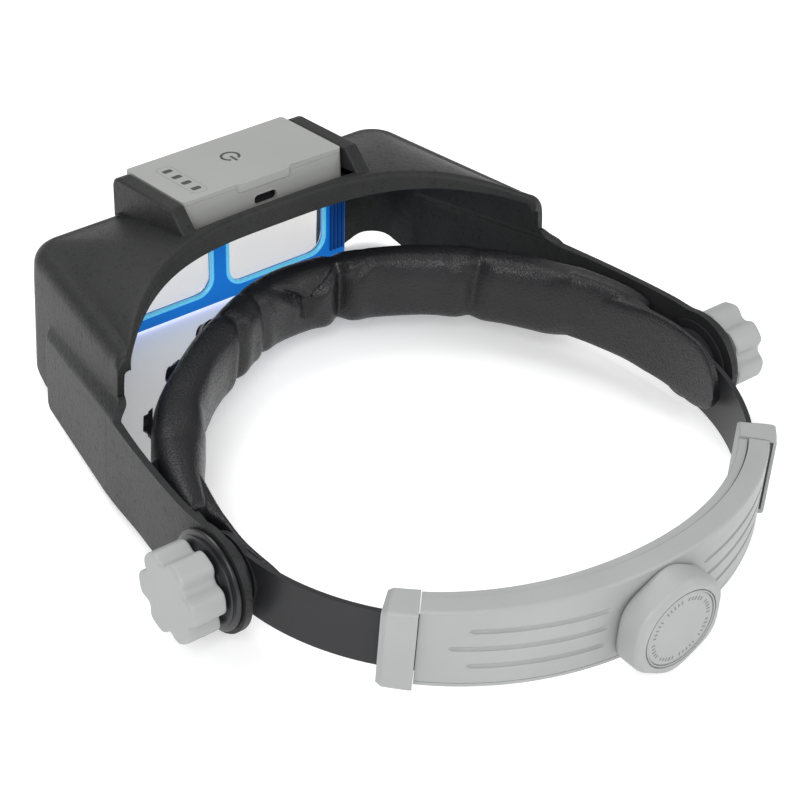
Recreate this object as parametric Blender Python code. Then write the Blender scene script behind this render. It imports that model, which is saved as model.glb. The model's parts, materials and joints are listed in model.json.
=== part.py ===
"""Head visor magnifier: a headband with a ratchet at the back, a hinged hood with a
two-window lens plate, and a rechargeable lamp that lifts out of a cradle on the hood.

Metres, +Z up. The wearer looks along -Y and the wearer's left is +X. The headband lies
level. All sizes below are driving dimensions, and places are worked out from them.
"""
import math

import bmesh
import bpy
from mathutils import Matrix, Vector

MM = 0.001
GAP = 0.3 * MM                     # between pieces that touch

# Headband ring: two half ellipses that meet at the pivots
RING_HALF_WIDTH = 99.6 * MM        # middle of the front strap at the pivots
RING_FRONT_REACH = 109.6 * MM
RING_REAR_REACH = 84.9 * MM
STRAP_HEIGHT = 21.5 * MM
FRONT_STRAP_THICK = 2.0 * MM
SIDE_STRAP_THICK = 1.8 * MM
STRAP_EAR_R = 12.5 * MM

# Sweat pad, a padded sleeve round the front strap
PAD_INNER_THICK = 8.4 * MM
PAD_OUTER_THICK = 2.2 * MM
PAD_TOP_FRONT = STRAP_HEIGHT / 2 + 2.65 * MM
PAD_TOP_SIDE = STRAP_HEIGHT / 2 + 5.25 * MM
PAD_BOTTOM_FRONT = -STRAP_HEIGHT / 2 - 2.45 * MM
PAD_BOTTOM_SIDE = -STRAP_HEIGHT / 2 - 1.25 * MM
PAD_END_ANGLE = 12.0               # degrees in front of the pivot, where the sleeve ends
TAB_THICK = 2.8 * MM               # flat tab at each end of the pad, inside the bolt's head
TAB_REACH = 13.0                   # degrees that the tab runs behind the pivot
TAB_OVERLAP = 7.0                  # degrees of the tab that lie in the sleeve
TAB_TOP = 12.6 * MM
TAB_BOTTOM = -8.0 * MM
SNAP_R = 5.6 * MM
SNAP_HEIGHT = 2.6 * MM
SNAP_ANGLES = (24, 38, 53, 68)     # degrees in front of each pivot

# Pivots
BOLT_R = 3.0 * MM
BOLT_HEAD_R = 7.0 * MM
BOLT_HEAD_THICK = 1.8 * MM
INNER_WASHER_THICK = 0.8 * MM
OUTER_WASHER_THICK = 4.0 * MM
WASHER_R = 15.5 * MM
ARM_THICK = 3.0 * MM
ARM_DISC_R = 18.5 * MM
KNOB_R = 15.2 * MM
KNOB_LOBE_DEPTH = 1.6 * MM
KNOB_DEPTH = 12.6 * MM
KNOB_LOBES = 6
INSERT_FLATS = 10.0 * MM
INSERT_THICK = 5.0 * MM

# Rear housing
HOUSING_DEPTH = 10.4 * MM
HOUSING_BOTTOM = -STRAP_HEIGHT / 2 - 2.35 * MM
HOUSING_TOP_END = STRAP_HEIGHT / 2 + 5.35 * MM
HOUSING_TOP_MIDDLE = STRAP_HEIGHT / 2 + 10.05 * MM
HOUSING_WALL = 1.9 * MM
BASE_THICK = 3.1 * MM
COLLAR_START = 36.5                # degrees behind the pivot
COLLAR_END = 43.4
COLLAR_PROUD = 1.6 * MM
GROOVE_WIDTH = 1.6 * MM
GROOVE_DEPTH = 0.8 * MM
GROOVE_PITCH = 7.0 * MM
GROOVE_MID_Z = 3.0 * MM
SCREW_SHANK_R = 1.2 * MM
SCREW_REACH = 5.4 * MM
SCREW_HEAD_R = 2.4 * MM
SCREW_HEAD_THICK = 1.4 * MM
SCREW_ANGLE = 60.0                 # degrees behind the pivot
SCREW_Z = 4.0 * MM                 # above or below the pinion

# Ratchet
RATCHET_Z = 1.0 * MM
RATCHET_KNOB_R = 15.6 * MM
RATCHET_KNOB_DEPTH = 10.2 * MM
PINION_TEETH = 12
PINION_PITCH_R = 5.0 * MM
PINION_TOOTH = 0.8 * MM
SHAFT_R = 2.8 * MM
RACK_OVERRUN = 11.0                # degrees that each rack runs past the middle
KNOB_CAP_R = 11.2 * MM
KNOB_CAP_THICK = 1.2 * MM

# Visor hood, in the visor's frame: its origin is the middle of the pivot axis
VISOR_DROOP = 4.57                 # degrees that the visor hangs below the headband's plane
HOOD_FRONT_Y = -150.9 * MM
HOOD_FRONT_HALF_W = 76.8 * MM
HOOD_REAR_Y = -71.0 * MM
HOOD_REAR_HALF_W = RING_HALF_WIDTH - 8.4 * MM
HOOD_TOP_FRONT_Z = 40.4 * MM
HOOD_TOP_REAR_Z = 38.6 * MM
HOOD_BOTTOM_Z = -9.3 * MM
HOOD_WALL = 2.4 * MM
HOOD_CORNER_R = 13.0 * MM
HOOD_FOLD_R = 6.0 * MM
HOOD_DRAFT = math.tan(math.radians(2.0))
BROW_MIDDLE_Y = -106.5 * MM        # the raised rear edge of the hood's top
BROW_MIDDLE_Z = 50.0 * MM
BROW_HALF_W = HOOD_REAR_HALF_W - 5.2 * MM
BROW_DROP_MIDDLE = 8.6 * MM
BROW_DROP_END = 3.4 * MM
ARM_FRONT_Y = -130.5 * MM
ARM_BOTTOM_Z = -13.1 * MM
ARM_TOP_REAR_Z = 17.6 * MM
LEDGE_FRONT_Z = 14.0 * MM
LEDGE_REAR_Z = 18.8 * MM
LEDGE_RISE = 5.6 * MM
LEDGE_FRONT_OUT = 1.8 * MM
LEDGE_REAR_OUT = 4.2 * MM

# Lens plate
LENS_W = 43.4 * MM
LENS_H = 30.0 * MM
LENS_POST = 8.0 * MM
LENS_CORNER_R = 6.0 * MM
LENS_THICK = 2.4 * MM
LENS_SEAT = 1.3 * MM
LENS_FRAME_HALF_W = 58.0 * MM
LENS_FRAME_THICK = 4.0 * MM
LENS_FRAME_RAIL = 6.0 * MM
LENS_SCREW_R = 1.5 * MM
LENS_SCREW_HEAD_R = 2.8 * MM

# Lamp
LAMP_W = 68.0 * MM
LAMP_LENGTH = 35.8 * MM
LAMP_H = 12.6 * MM
LAMP_TOP_FRONT_Z = 54.0 * MM
LAMP_PITCH = 4.0                   # degrees that the lamp's rear is raised
LAMP_WALL = 1.6 * MM
LAMP_COVER_THICK = 1.8 * MM
LAMP_CORNER_R = 2.0 * MM
CHEEK_THICK = 6.0 * MM
USB_W = 9.4 * MM
USB_H = 3.6 * MM
USB_DEPTH = 7.0 * MM
LED_R = 2.5 * MM
LED_SPACING = 30.0 * MM
INDICATORS = 4
INDICATOR_PITCH = 5.9 * MM
INDICATOR_SIZE = (1.9 * MM, 2.9 * MM)


# ---------------------------------------------------------------- tools

def clear_scene():
    for obj in list(bpy.data.objects):
        bpy.data.objects.remove(obj, do_unlink=True)


def make_material(name, colour, roughness, metallic=0.0, alpha=1.0):
    mat = bpy.data.materials.new(name)
    mat.use_nodes = True
    shader = mat.node_tree.nodes["Principled BSDF"]
    shader.inputs["Base Color"].default_value = (*colour, 1.0)
    shader.inputs["Roughness"].default_value = roughness
    shader.inputs["Metallic"].default_value = metallic
    shader.inputs["Alpha"].default_value = alpha
    mat.diffuse_color = (*colour, alpha)
    return mat


def make_empty(name, parent=None, location=(0, 0, 0), rotation=(0, 0, 0)):
    obj = bpy.data.objects.new(name, None)
    bpy.context.scene.collection.objects.link(obj)
    obj.parent = parent
    obj.location = location
    obj.rotation_euler = rotation
    return obj


def make_object(name, bm, material=None, parent=None, location=(0, 0, 0), rotation=(0, 0, 0)):
    """Turn a bmesh into an object with sharp edges kept and round faces smooth."""
    bmesh.ops.recalc_face_normals(bm, faces=bm.faces)
    mesh = bpy.data.meshes.new(name)
    bm.to_mesh(mesh)
    bm.free()
    mesh.shade_smooth()
    mesh.set_sharp_from_angle(angle=math.radians(35))
    obj = bpy.data.objects.new(name, mesh)
    bpy.context.scene.collection.objects.link(obj)
    if material:
        mesh.materials.append(material)
    obj.parent = parent
    obj.location = location
    obj.rotation_euler = rotation
    return obj


def combine(target, tool, operation):
    """Boolean that leaves the tool as a hidden wire guide."""
    mod = target.modifiers.new(tool.name, "BOOLEAN")
    mod.operation = operation
    mod.solver = "EXACT"
    mod.object = tool
    tool.hide_render = True
    tool.display_type = "WIRE"
    return target


def cut(target, name, bm, location=(0, 0, 0), rotation=(0, 0, 0)):
    tool = make_object(name, bm, None, target.parent, location, rotation)
    return combine(target, tool, "DIFFERENCE")


def add(target, name, bm, location=(0, 0, 0), rotation=(0, 0, 0)):
    tool = make_object(name, bm, None, target.parent, location, rotation)
    return combine(target, tool, "UNION")


def loft(loops):
    """Skin through loops of equal point counts, with flat ends."""
    bm = bmesh.new()
    rings = [[bm.verts.new(p) for p in loop] for loop in loops]
    count = len(rings[0])
    for ring_a, ring_b in zip(rings, rings[1:]):
        for i in range(count):
            j = (i + 1) % count
            bm.faces.new((ring_a[i], ring_a[j], ring_b[j], ring_b[i]))
    bm.faces.new(rings[0])
    bm.faces.new(list(reversed(rings[-1])))
    return bm


def sleeve(outer_loops, inner_loops):
    """Skin outside and inside a tube of free section, joined by flat rims at both ends."""
    bm = bmesh.new()
    outer = [[bm.verts.new(p) for p in loop] for loop in outer_loops]
    inner = [[bm.verts.new(p) for p in loop] for loop in inner_loops]
    count = len(outer[0])
    for rings in (outer, inner):
        for ring_a, ring_b in zip(rings, rings[1:]):
            for i in range(count):
                j = (i + 1) % count
                bm.faces.new((ring_a[i], ring_a[j], ring_b[j], ring_b[i]))
    for end in (0, -1):
        for i in range(count):
            j = (i + 1) % count
            bm.faces.new((outer[end][i], outer[end][j], inner[end][j], inner[end][i]))
    return bm


def thicken(outer_points, inner_points, faces):
    """Closed shell between an open outer skin and a matching inner skin."""
    bm = bmesh.new()
    outer = [bm.verts.new(p) for p in outer_points]
    inner = [bm.verts.new(p) for p in inner_points]
    edges = {}
    for face in faces:
        for a, b in zip(face, face[1:] + face[:1]):
            edges[(a, b)] = True
        bm.faces.new([outer[i] for i in face])
        bm.faces.new([inner[i] for i in reversed(face)])
    for a, b in edges:
        if (b, a) not in edges:
            bm.faces.new((outer[b], outer[a], inner[a], inner[b]))
    used = {i for face in faces for i in face}
    loose = [v for i in range(len(outer)) if i not in used for v in (outer[i], inner[i])]
    bmesh.ops.delete(bm, geom=loose, context="VERTS")
    bmesh.ops.triangulate(bm, faces=bm.faces)
    return bm


def prism(outline, low, high):
    """Outline in X and Y, extruded from low to high along Z."""
    return loft([[(x, y, z) for x, y in outline] for z in (low, high)])


def turned(profile, segments):
    """Profile of (radius, height) points turned about Z. Radius 0 makes a pole, and a
    profile that stays off the axis is closed into a ring."""
    bm = bmesh.new()
    rings = []
    for r, z in profile:
        if r == 0:
            rings.append([bm.verts.new((0, 0, z))])
            continue
        angles = [2 * math.pi * i / segments for i in range(segments)]
        rings.append([bm.verts.new((r * math.cos(a), r * math.sin(a), z)) for a in angles])
    pairs = list(zip(rings, rings[1:]))
    if profile[0][0] and profile[-1][0]:
        pairs.append((rings[-1], rings[0]))
    for ring_a, ring_b in pairs:
        for i in range(segments):
            j = (i + 1) % segments
            corners = [ring_a[i % len(ring_a)], ring_a[j % len(ring_a)],
                       ring_b[j % len(ring_b)], ring_b[i % len(ring_b)]]
            unique = list(dict.fromkeys(corners))
            bm.faces.new(unique)
    return bm


def cylinder(radius, low, high, segments=24):
    return turned([(0, low), (radius, low), (radius, high), (0, high)], segments)


def rounded_rectangle(width, height, radius, steps=4, centre=(0, 0)):
    """Outline, anticlockwise from the lower right corner."""
    points = []
    for quarter, (sx, sy) in enumerate(((1, -1), (1, 1), (-1, 1), (-1, -1))):
        cx = centre[0] + sx * (width / 2 - radius)
        cy = centre[1] + sy * (height / 2 - radius)
        for i in range(steps + 1):
            a = math.pi / 2 * (quarter - 1 + i / steps)
            points.append((cx + radius * math.cos(a), cy + radius * math.sin(a)))
    return points


def block(width, length, low, high, centre=(0, 0), radius=0.4 * MM, steps=1):
    """Upright block with slightly rounded vertical edges."""
    return prism(rounded_rectangle(width, length, radius, steps, centre), low, high)


def mix(a, b, t):
    return a + (b - a) * t


ALONG_X = (0, math.pi / 2, 0)      # turns a Z axis to +X
ALONG_Y = (-math.pi / 2, 0, 0)     # turns a Z axis to +Y


# ---------------------------------------------------------------- headband

def ring_point(degrees, offset, z, half_width=RING_HALF_WIDTH):
    """Point on the band: 0 is the left pivot, +90 the back and -90 the front.
    offset is how far outside the strap's middle it lies."""
    a = math.radians(degrees)
    reach = RING_REAR_REACH if math.sin(a) > 0 else RING_FRONT_REACH
    normal = Vector((math.cos(a) / half_width, math.sin(a) / reach, 0)).normalized()
    return Vector((half_width * math.cos(a), reach * math.sin(a), z)) + normal * offset


def side_half_width():
    """The side straps lie inside the front strap at the pivots, clear of its curve."""
    curve = RING_HALF_WIDTH * (1 - math.sqrt(1 - (STRAP_EAR_R / RING_FRONT_REACH) ** 2))
    return RING_HALF_WIDTH - FRONT_STRAP_THICK / 2 - SIDE_STRAP_THICK / 2 - curve - GAP


def rectangle_on_ring(degrees, inner, outer, low, high, half_width=RING_HALF_WIDTH):
    return [ring_point(degrees, inner, low, half_width), ring_point(degrees, outer, low, half_width),
            ring_point(degrees, outer, high, half_width), ring_point(degrees, inner, high, half_width)]


def angles_between(start, end, steps):
    return [mix(start, end, i / steps) for i in range(steps + 1)]


def make_front_strap(parent, material):
    half = FRONT_STRAP_THICK / 2
    loops = [rectangle_on_ring(a, -half, half, -STRAP_HEIGHT / 2, STRAP_HEIGHT / 2)
             for a in angles_between(-180, 0, 36)]
    strap = make_object("front_strap", loft(loops), material, parent)
    ear_half = half + 0.1 * MM
    for side, label in ((1, "left"), (-1, "right")):
        x = side * RING_HALF_WIDTH
        add(strap, f"front_strap_ear_{label}", cylinder(STRAP_EAR_R, -ear_half, ear_half),
            (x, 0, 0), ALONG_X)
        cut(strap, f"front_strap_hole_{label}",
            cylinder(BOLT_R + GAP, -4 * half, 4 * half, 16), (x, 0, 0), ALONG_X)
    return strap


def pad_section(degrees, grow):
    """Superellipse round the strap. grow 1 is the cover and 0 the channel in the sleeve."""
    to_side = abs(math.cos(math.radians(degrees))) ** 2
    half = FRONT_STRAP_THICK / 2
    inner = -half - GAP - grow * PAD_INNER_THICK
    outer = half + GAP + grow * PAD_OUTER_THICK
    top = mix(STRAP_HEIGHT / 2 + GAP, mix(PAD_TOP_FRONT, PAD_TOP_SIDE, to_side), grow)
    bottom = mix(-STRAP_HEIGHT / 2 - GAP, mix(PAD_BOTTOM_FRONT, PAD_BOTTOM_SIDE, to_side), grow)
    power = 0.5 if grow else 0.12
    points = []
    for i in range(16):
        a = 2 * math.pi * (i + 0.5) / 16
        ca, sa = math.cos(a), math.sin(a)
        u = math.copysign(abs(ca) ** power, ca)
        v = math.copysign(abs(sa) ** power, sa)
        offset = mix(inner, outer, (u + 1) / 2)
        points.append(ring_point(degrees, offset, mix(bottom, top, (v + 1) / 2)))
    return points


def make_sweat_pad(parent, material):
    angles = angles_between(-180 + PAD_END_ANGLE, -PAD_END_ANGLE, 30)
    outer = [pad_section(a, 1) for a in angles]
    inner = [pad_section(a, 0) for a in angles]
    pad = make_object("sweat_pad", sleeve(outer, inner), material, parent)
    for side, label in ((1, "left"), (-1, "right")):
        add(pad, f"pad_tab_{label}", make_tab(side))
    return pad


def make_tab(side):
    """Thin end of the pad that covers the pivot bolt's head, with rounded rear corners."""
    low = -FRONT_STRAP_THICK / 2 - GAP - PAD_INNER_THICK
    first = -PAD_END_ANGLE - TAB_OVERLAP
    loops = []
    for a in angles_between(first, TAB_REACH, 16):
        share = max(0.0, (a - TAB_REACH) / 7.0 + 1)
        round_off = 1 - math.sqrt(max(0.0, 1 - (share * 0.995) ** 2))
        slope = max(0.0, (a + PAD_END_ANGLE) / (TAB_REACH + PAD_END_ANGLE))
        top = TAB_TOP - 3.0 * MM * slope - 7.0 * MM * round_off
        bottom = TAB_BOTTOM + 4.5 * MM * round_off
        inner = low + 0.5 * MM * (a < -PAD_END_ANGLE)
        loops.append([Vector((p.x * side, p.y, p.z))
                      for p in rectangle_on_tab(a, inner, low + TAB_THICK, bottom, top)])
    return loft(loops)


def rectangle_on_tab(degrees, inner, outer, low, high):
    """Section of the tab, which runs on round the front strap's curve without a bend at the
    pivot."""
    a = math.radians(degrees)
    reach = RING_FRONT_REACH
    x = RING_HALF_WIDTH * math.cos(a)
    y = reach * math.sin(a)
    normal = Vector((math.cos(a) / RING_HALF_WIDTH, math.sin(a) / reach, 0)).normalized()
    return [Vector((x, y, z)) + normal * offset
            for offset, z in ((inner, low), (outer, low), (outer, high), (inner, high))]


def make_snaps(parent, material):
    """Press studs on the outside of the pad, four on each side."""
    base = FRONT_STRAP_THICK / 2 + GAP + PAD_OUTER_THICK + GAP
    profile = [(0, 0), (SNAP_R * 0.9, 0), (SNAP_R, SNAP_HEIGHT * 0.35),
               (SNAP_R * 0.75, SNAP_HEIGHT * 0.8), (0, SNAP_HEIGHT)]
    for side, label in ((1, "left"), (-1, "right")):
        for number, ahead in enumerate(SNAP_ANGLES, 1):
            place = ring_point(-ahead, base, 0)
            normal = ring_point(-ahead, 1, 0) - ring_point(-ahead, 0, 0)
            turn = math.atan2(normal.y, normal.x * side)
            make_object(f"snap_{label}_{number}", turned(profile, 16), material, parent,
                        (side * place.x, place.y, 0), (0, math.pi / 2, turn))


def make_side_strap(label, parent, material):
    """Strap from a pivot into the rear housing, where it narrows to a toothed rack. The
    left rack runs above the pinion and the right one below it."""
    side = 1 if label == "left" else -1
    half = SIDE_STRAP_THICK / 2
    width = side_half_width()
    full_end = COLLAR_END + 5
    reach = PINION_PITCH_R + PINION_TOOTH / 2 + GAP
    edge = RATCHET_Z + side * reach
    outer_edge = side * STRAP_HEIGHT / 2
    loops = []
    for a in angles_between(0, full_end, 10):
        loops.append(rectangle_on_ring(a, -half, half, -STRAP_HEIGHT / 2, STRAP_HEIGHT / 2, width))
    for a in angles_between(full_end + 1.5, 90 + RACK_OVERRUN, 10):
        low, high = sorted((edge + side * PINION_TOOTH, outer_edge))
        loops.append(rectangle_on_ring(a, -half, half, low, high, width))
    for loop in loops:
        for point in loop:
            point.x *= side
    strap = make_object(f"side_strap_{label}", loft(loops), material, parent)
    x = side * width
    add(strap, f"side_strap_ear_{label}",
        cylinder(STRAP_EAR_R, -half - 0.1 * MM, half - 0.05 * MM), (x, 0, 0), (0, side * math.pi / 2, 0))
    cut(strap, f"side_strap_hole_{label}", cylinder(BOLT_R + GAP, -4 * half, 4 * half, 16),
        (x, 0, 0), ALONG_X)
    add(strap, f"rack_teeth_{label}", rack_teeth(side, half, edge))
    return strap


def rack_teeth(side, half, edge):
    """Saw-tooth comb that follows the strap, with its tips towards the pinion."""
    pitch = 2 * math.pi * PINION_PITCH_R / PINION_TEETH
    degrees_per_tooth = math.degrees(pitch / side_half_width())
    count = int((RACK_OVERRUN * 2) / degrees_per_tooth)
    root = edge + side * (PINION_TOOTH + 0.5 * MM)
    loops = []
    for i in range(2 * count + 1):
        a = 90 + RACK_OVERRUN - 1 - i * degrees_per_tooth / 2
        tip = edge if i % 2 else edge + side * PINION_TOOTH * 0.9
        low, high = sorted((tip, root))
        loop = rectangle_on_ring(a, -half * 0.9, half * 0.9, low, high, side_half_width())
        loops.append([Vector((p.x * side, p.y, p.z)) for p in loop])
    return loft(loops)


def pivot_stack():
    """Distances out from the middle plane of the faces at a pivot."""
    stack = {}
    x = RING_HALF_WIDTH + FRONT_STRAP_THICK / 2 + 0.1 * MM
    for name, thick in (("inner_washer", INNER_WASHER_THICK), ("arm", ARM_THICK),
                        ("outer_washer", OUTER_WASHER_THICK), ("knob", KNOB_DEPTH)):
        stack[name] = x + GAP
        x = stack[name] + thick
    stack["end"] = x
    return stack


def make_pivot(label, band, knob_parent, visor, mats):
    side = 1 if label == "left" else -1
    out = (0, side * math.pi / 2, 0)
    stack = pivot_stack()
    head_face = side_half_width() - SIDE_STRAP_THICK / 2 - 0.1 * MM - GAP
    bolt_end = stack["end"] - 3.0 * MM
    bolt = turned([(0, head_face - BOLT_HEAD_THICK), (BOLT_HEAD_R * 0.8, head_face - BOLT_HEAD_THICK),
                   (BOLT_HEAD_R, head_face - BOLT_HEAD_THICK * 0.4), (BOLT_HEAD_R, head_face),
                   (BOLT_R, head_face), (BOLT_R, bolt_end - 0.5 * MM),
                   (BOLT_R - 0.5 * MM, bolt_end), (0, bolt_end)], 20)
    make_object(f"pivot_bolt_{label}", bolt, mats["steel"], band, (0, 0, 0), out)
    bore = BOLT_R + GAP
    low = stack["inner_washer"]
    make_object(f"inner_washer_{label}",
                turned([(bore, low), (WASHER_R, low), (WASHER_R, low + INNER_WASHER_THICK),
                        (bore, low + INNER_WASHER_THICK)], 28),
                mats["nylon"], band, (0, 0, 0), out)
    low = stack["outer_washer"]
    steps = [(bore, low), (WASHER_R + 1.5 * MM, low), (WASHER_R + 1.5 * MM, low + 1.2 * MM),
             (WASHER_R, low + 1.7 * MM), (WASHER_R, low + 2.4 * MM),
             (WASHER_R - 3 * MM, low + OUTER_WASHER_THICK), (bore, low + OUTER_WASHER_THICK)]
    make_object(f"outer_washer_{label}", turned(steps, 28), mats["black"], visor, (0, 0, 0), out)
    make_knob(label, side, stack, knob_parent, mats)


def lobed_outline(radius, depth, lobes, steps):
    points = []
    for i in range(lobes * steps):
        a = 2 * math.pi * i / (lobes * steps)
        wave = math.cos(lobes * a)
        r = radius - depth + depth * math.copysign(abs(wave) ** 0.7, wave)
        points.append((r * math.cos(a), r * math.sin(a)))
    return points


def make_knob(label, side, stack, parent, mats):
    low, high = stack["knob"], stack["end"]
    levels = [(0.93, 0), (1.0, 0.8 * MM), (1.0, KNOB_DEPTH - 1.4 * MM),
              (0.95, KNOB_DEPTH - 0.4 * MM), (0.88, KNOB_DEPTH)]
    loops = []
    for scale, height in levels:
        outline = lobed_outline(KNOB_R * scale, KNOB_LOBE_DEPTH, KNOB_LOBES, 8)
        loops.append([(x, y, height) for x, y in outline])
    knob = make_object(f"pivot_knob_{label}", loft(loops), mats["grey"], parent,
                       (side * low, 0, 0), (0, side * math.pi / 2, 0))
    pocket = INSERT_THICK + GAP
    hexagon_r = INSERT_FLATS / math.sqrt(3)
    cut(knob, f"knob_pocket_{label}", cylinder(hexagon_r + GAP, -1 * MM, pocket, 6),
        (side * low, 0, 0), (0, side * math.pi / 2, 0))
    cut(knob, f"knob_bore_{label}",
        cylinder(BOLT_R + GAP, 0.5 * MM, high - 3 * MM + GAP - low, 16),
        (side * low, 0, 0), (0, side * math.pi / 2, 0))
    insert = make_object(f"knob_insert_{label}", cylinder(hexagon_r, 0, INSERT_THICK, 6),
                         mats["brass"], parent, (side * low, 0, 0), (0, side * math.pi / 2, 0))
    cut(insert, f"insert_bore_{label}", cylinder(BOLT_R + GAP / 3, -1 * MM, INSERT_THICK + 1 * MM, 16),
        (side * low, 0, 0), (0, side * math.pi / 2, 0))


# ---------------------------------------------------------------- rear housing

def housing_top(degrees):
    """Height of the housing's top edge, highest in the middle of the back."""
    across = abs(math.cos(math.radians(degrees))) / math.cos(math.radians(COLLAR_START))
    return mix(HOUSING_TOP_MIDDLE, HOUSING_TOP_END, across ** 1.8)


def housing_loops(inner, outer, low, drop, start, end, steps, rounding=0.0):
    """Rectangular sections between two offsets. drop is how far the top stays below the
    housing's top edge, and rounding bevels the two outer edges."""
    width = side_half_width()
    loops = []
    for a in angles_between(start, end, steps):
        top = housing_top(a) - drop
        if rounding:
            loop = [ring_point(a, inner, low, width), ring_point(a, outer - rounding, low, width),
                    ring_point(a, outer, low + rounding, width), ring_point(a, outer, top - rounding, width),
                    ring_point(a, outer - rounding, top, width), ring_point(a, inner, top, width)]
        else:
            loop = rectangle_on_ring(a, inner, outer, low, top, width)
        loops.append(loop)
    return loops


def housing_offsets():
    half = HOUSING_DEPTH / 2
    return {"inner": -half, "split": -half + BASE_THICK, "outer": half}


def make_rear_cover(parent, material):
    """Outer shell: a curved tray, open to the head, with grip grooves on both sides."""
    off = housing_offsets()
    start, end = COLLAR_END, 180 - COLLAR_END
    body = housing_loops(off["split"] + GAP, off["outer"], HOUSING_BOTTOM, 0, start, end, 30, 1.2 * MM)
    cover = make_object("rear_cover", loft(body), material, parent)
    hollow = housing_loops(off["inner"], off["outer"] - HOUSING_WALL, HOUSING_BOTTOM + HOUSING_WALL,
                           HOUSING_WALL, start - 3, end + 3, 32)
    cut(cover, "rear_cover_hollow", loft(hollow))
    for side in (1, -1):
        for row in (-1, 0, 1):
            first = COLLAR_END + (8 if row else 5.5)
            last = 90 - math.degrees((RATCHET_KNOB_R + 3 * MM) / side_half_width())
            z = GROOVE_MID_Z + row * GROOVE_PITCH
            loops = [rectangle_on_ring(a, off["outer"] - GROOVE_DEPTH, off["outer"] + 2 * MM,
                                       z - GROOVE_WIDTH / 2, z + GROOVE_WIDTH / 2, side_half_width())
                     for a in angles_between(first, last, 9)]
            for loop in loops:
                for point in loop:
                    point.x *= side
            cut(cover, f"groove_{side}_{row}", loft(loops))
    back = RING_REAR_REACH
    cut(cover, "shaft_hole", cylinder(SHAFT_R + GAP, 0, 12 * MM, 20), (0, back, RATCHET_Z), ALONG_Y)
    for label, place in screw_places().items():
        add(cover, f"screw_boss_{label}", screw_boss(), place["location"], place["rotation"])
        cut(cover, f"screw_pilot_{label}", cylinder(SCREW_SHANK_R + GAP, -1 * MM, SCREW_REACH + GAP, 12),
            place["location"], place["rotation"])
    return cover


def screw_boss():
    """Solid boss from the split plane to inside the cover's wall."""
    depth = HOUSING_DEPTH - BASE_THICK - HOUSING_WALL / 2
    return cylinder(SCREW_SHANK_R + 1.5 * MM, GAP, depth, 14)


def screw_places():
    """The two screws stand where no rack passes: low on the left and high on the right."""
    places = {}
    for label, side in (("left", 1), ("right", -1)):
        point = ring_point(SCREW_ANGLE, housing_offsets()["split"], 0, side_half_width())
        ahead = ring_point(SCREW_ANGLE, 1, 0, side_half_width()) - ring_point(SCREW_ANGLE, 0, 0,
                                                                             side_half_width())
        heading = math.atan2(ahead.y, side * ahead.x)
        places[label] = {"location": (side * point.x, point.y, RATCHET_Z - side * SCREW_Z),
                         "rotation": (0, math.pi / 2, heading)}
    return places


def make_rear_base(parent, material, steel):
    """Inner panel that closes the cover, with two counterbored screws."""
    off = housing_offsets()
    loops = housing_loops(off["inner"], off["split"], HOUSING_BOTTOM + 0.6 * MM, 0.6 * MM,
                          COLLAR_END, 180 - COLLAR_END, 30)
    base = make_object("rear_base", loft(loops), material, parent)
    back = RING_REAR_REACH + off["split"]
    cut(base, "shaft_seat", cylinder(SHAFT_R + GAP, -1.2 * MM, 5 * MM, 20), (0, back, RATCHET_Z), ALONG_Y)
    for label, place in screw_places().items():
        cut(base, f"screw_hole_{label}", cylinder(SCREW_SHANK_R + GAP, -6 * MM, 6 * MM, 12),
            place["location"], place["rotation"])
        cut(base, f"screw_counterbore_{label}",
            cylinder(SCREW_HEAD_R + GAP, -BASE_THICK - 3 * MM, -BASE_THICK + SCREW_HEAD_THICK + GAP, 16),
            place["location"], place["rotation"])
        low = -BASE_THICK + GAP / 2
        screw = turned([(0, low), (SCREW_HEAD_R, low), (SCREW_HEAD_R, low + SCREW_HEAD_THICK - GAP / 2),
                        (SCREW_SHANK_R, low + SCREW_HEAD_THICK - GAP / 2), (SCREW_SHANK_R, SCREW_REACH),
                        (0, SCREW_REACH)], 14)
        make_object(f"housing_screw_{label}", screw, steel, parent, place["location"], place["rotation"])
    return base


def make_collar(label, parent, material):
    """End block of the housing, with a slot that the side strap slides through."""
    side = 1 if label == "left" else -1
    off = housing_offsets()
    width = side_half_width()
    last = COLLAR_END - math.degrees(GAP / width)
    outer = housing_loops(off["inner"], off["outer"] + COLLAR_PROUD, HOUSING_BOTTOM - 0.8 * MM,
                          -0.3 * MM, COLLAR_START, last, 4, 1.4 * MM)
    slot_half = SIDE_STRAP_THICK / 2 + 0.6 * MM
    slot_z = STRAP_HEIGHT / 2 + 0.6 * MM
    slot = [rectangle_on_ring(a, -slot_half, slot_half, -slot_z, slot_z, width)
            for a in angles_between(COLLAR_START - 3, last + 3, 4)]
    for loops in (outer, slot):
        for loop in loops:
            for point in loop:
                point[0] *= side
    collar = make_object(f"end_collar_{label}", loft(outer), material, parent)
    cut(collar, f"collar_slot_{label}", loft(slot))
    return collar


# ---------------------------------------------------------------- ratchet

def gear_outline(teeth, pitch_r, tooth):
    """Four points a tooth: root, flank, flank and root again."""
    points = []
    for i in range(teeth):
        for share, r in ((0.0, pitch_r - tooth), (0.28, pitch_r - tooth), (0.45, pitch_r + tooth / 2),
                         (0.83, pitch_r + tooth / 2)):
            a = 2 * math.pi * (i + share) / teeth
            points.append((r * math.cos(a), r * math.sin(a)))
    return points


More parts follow.
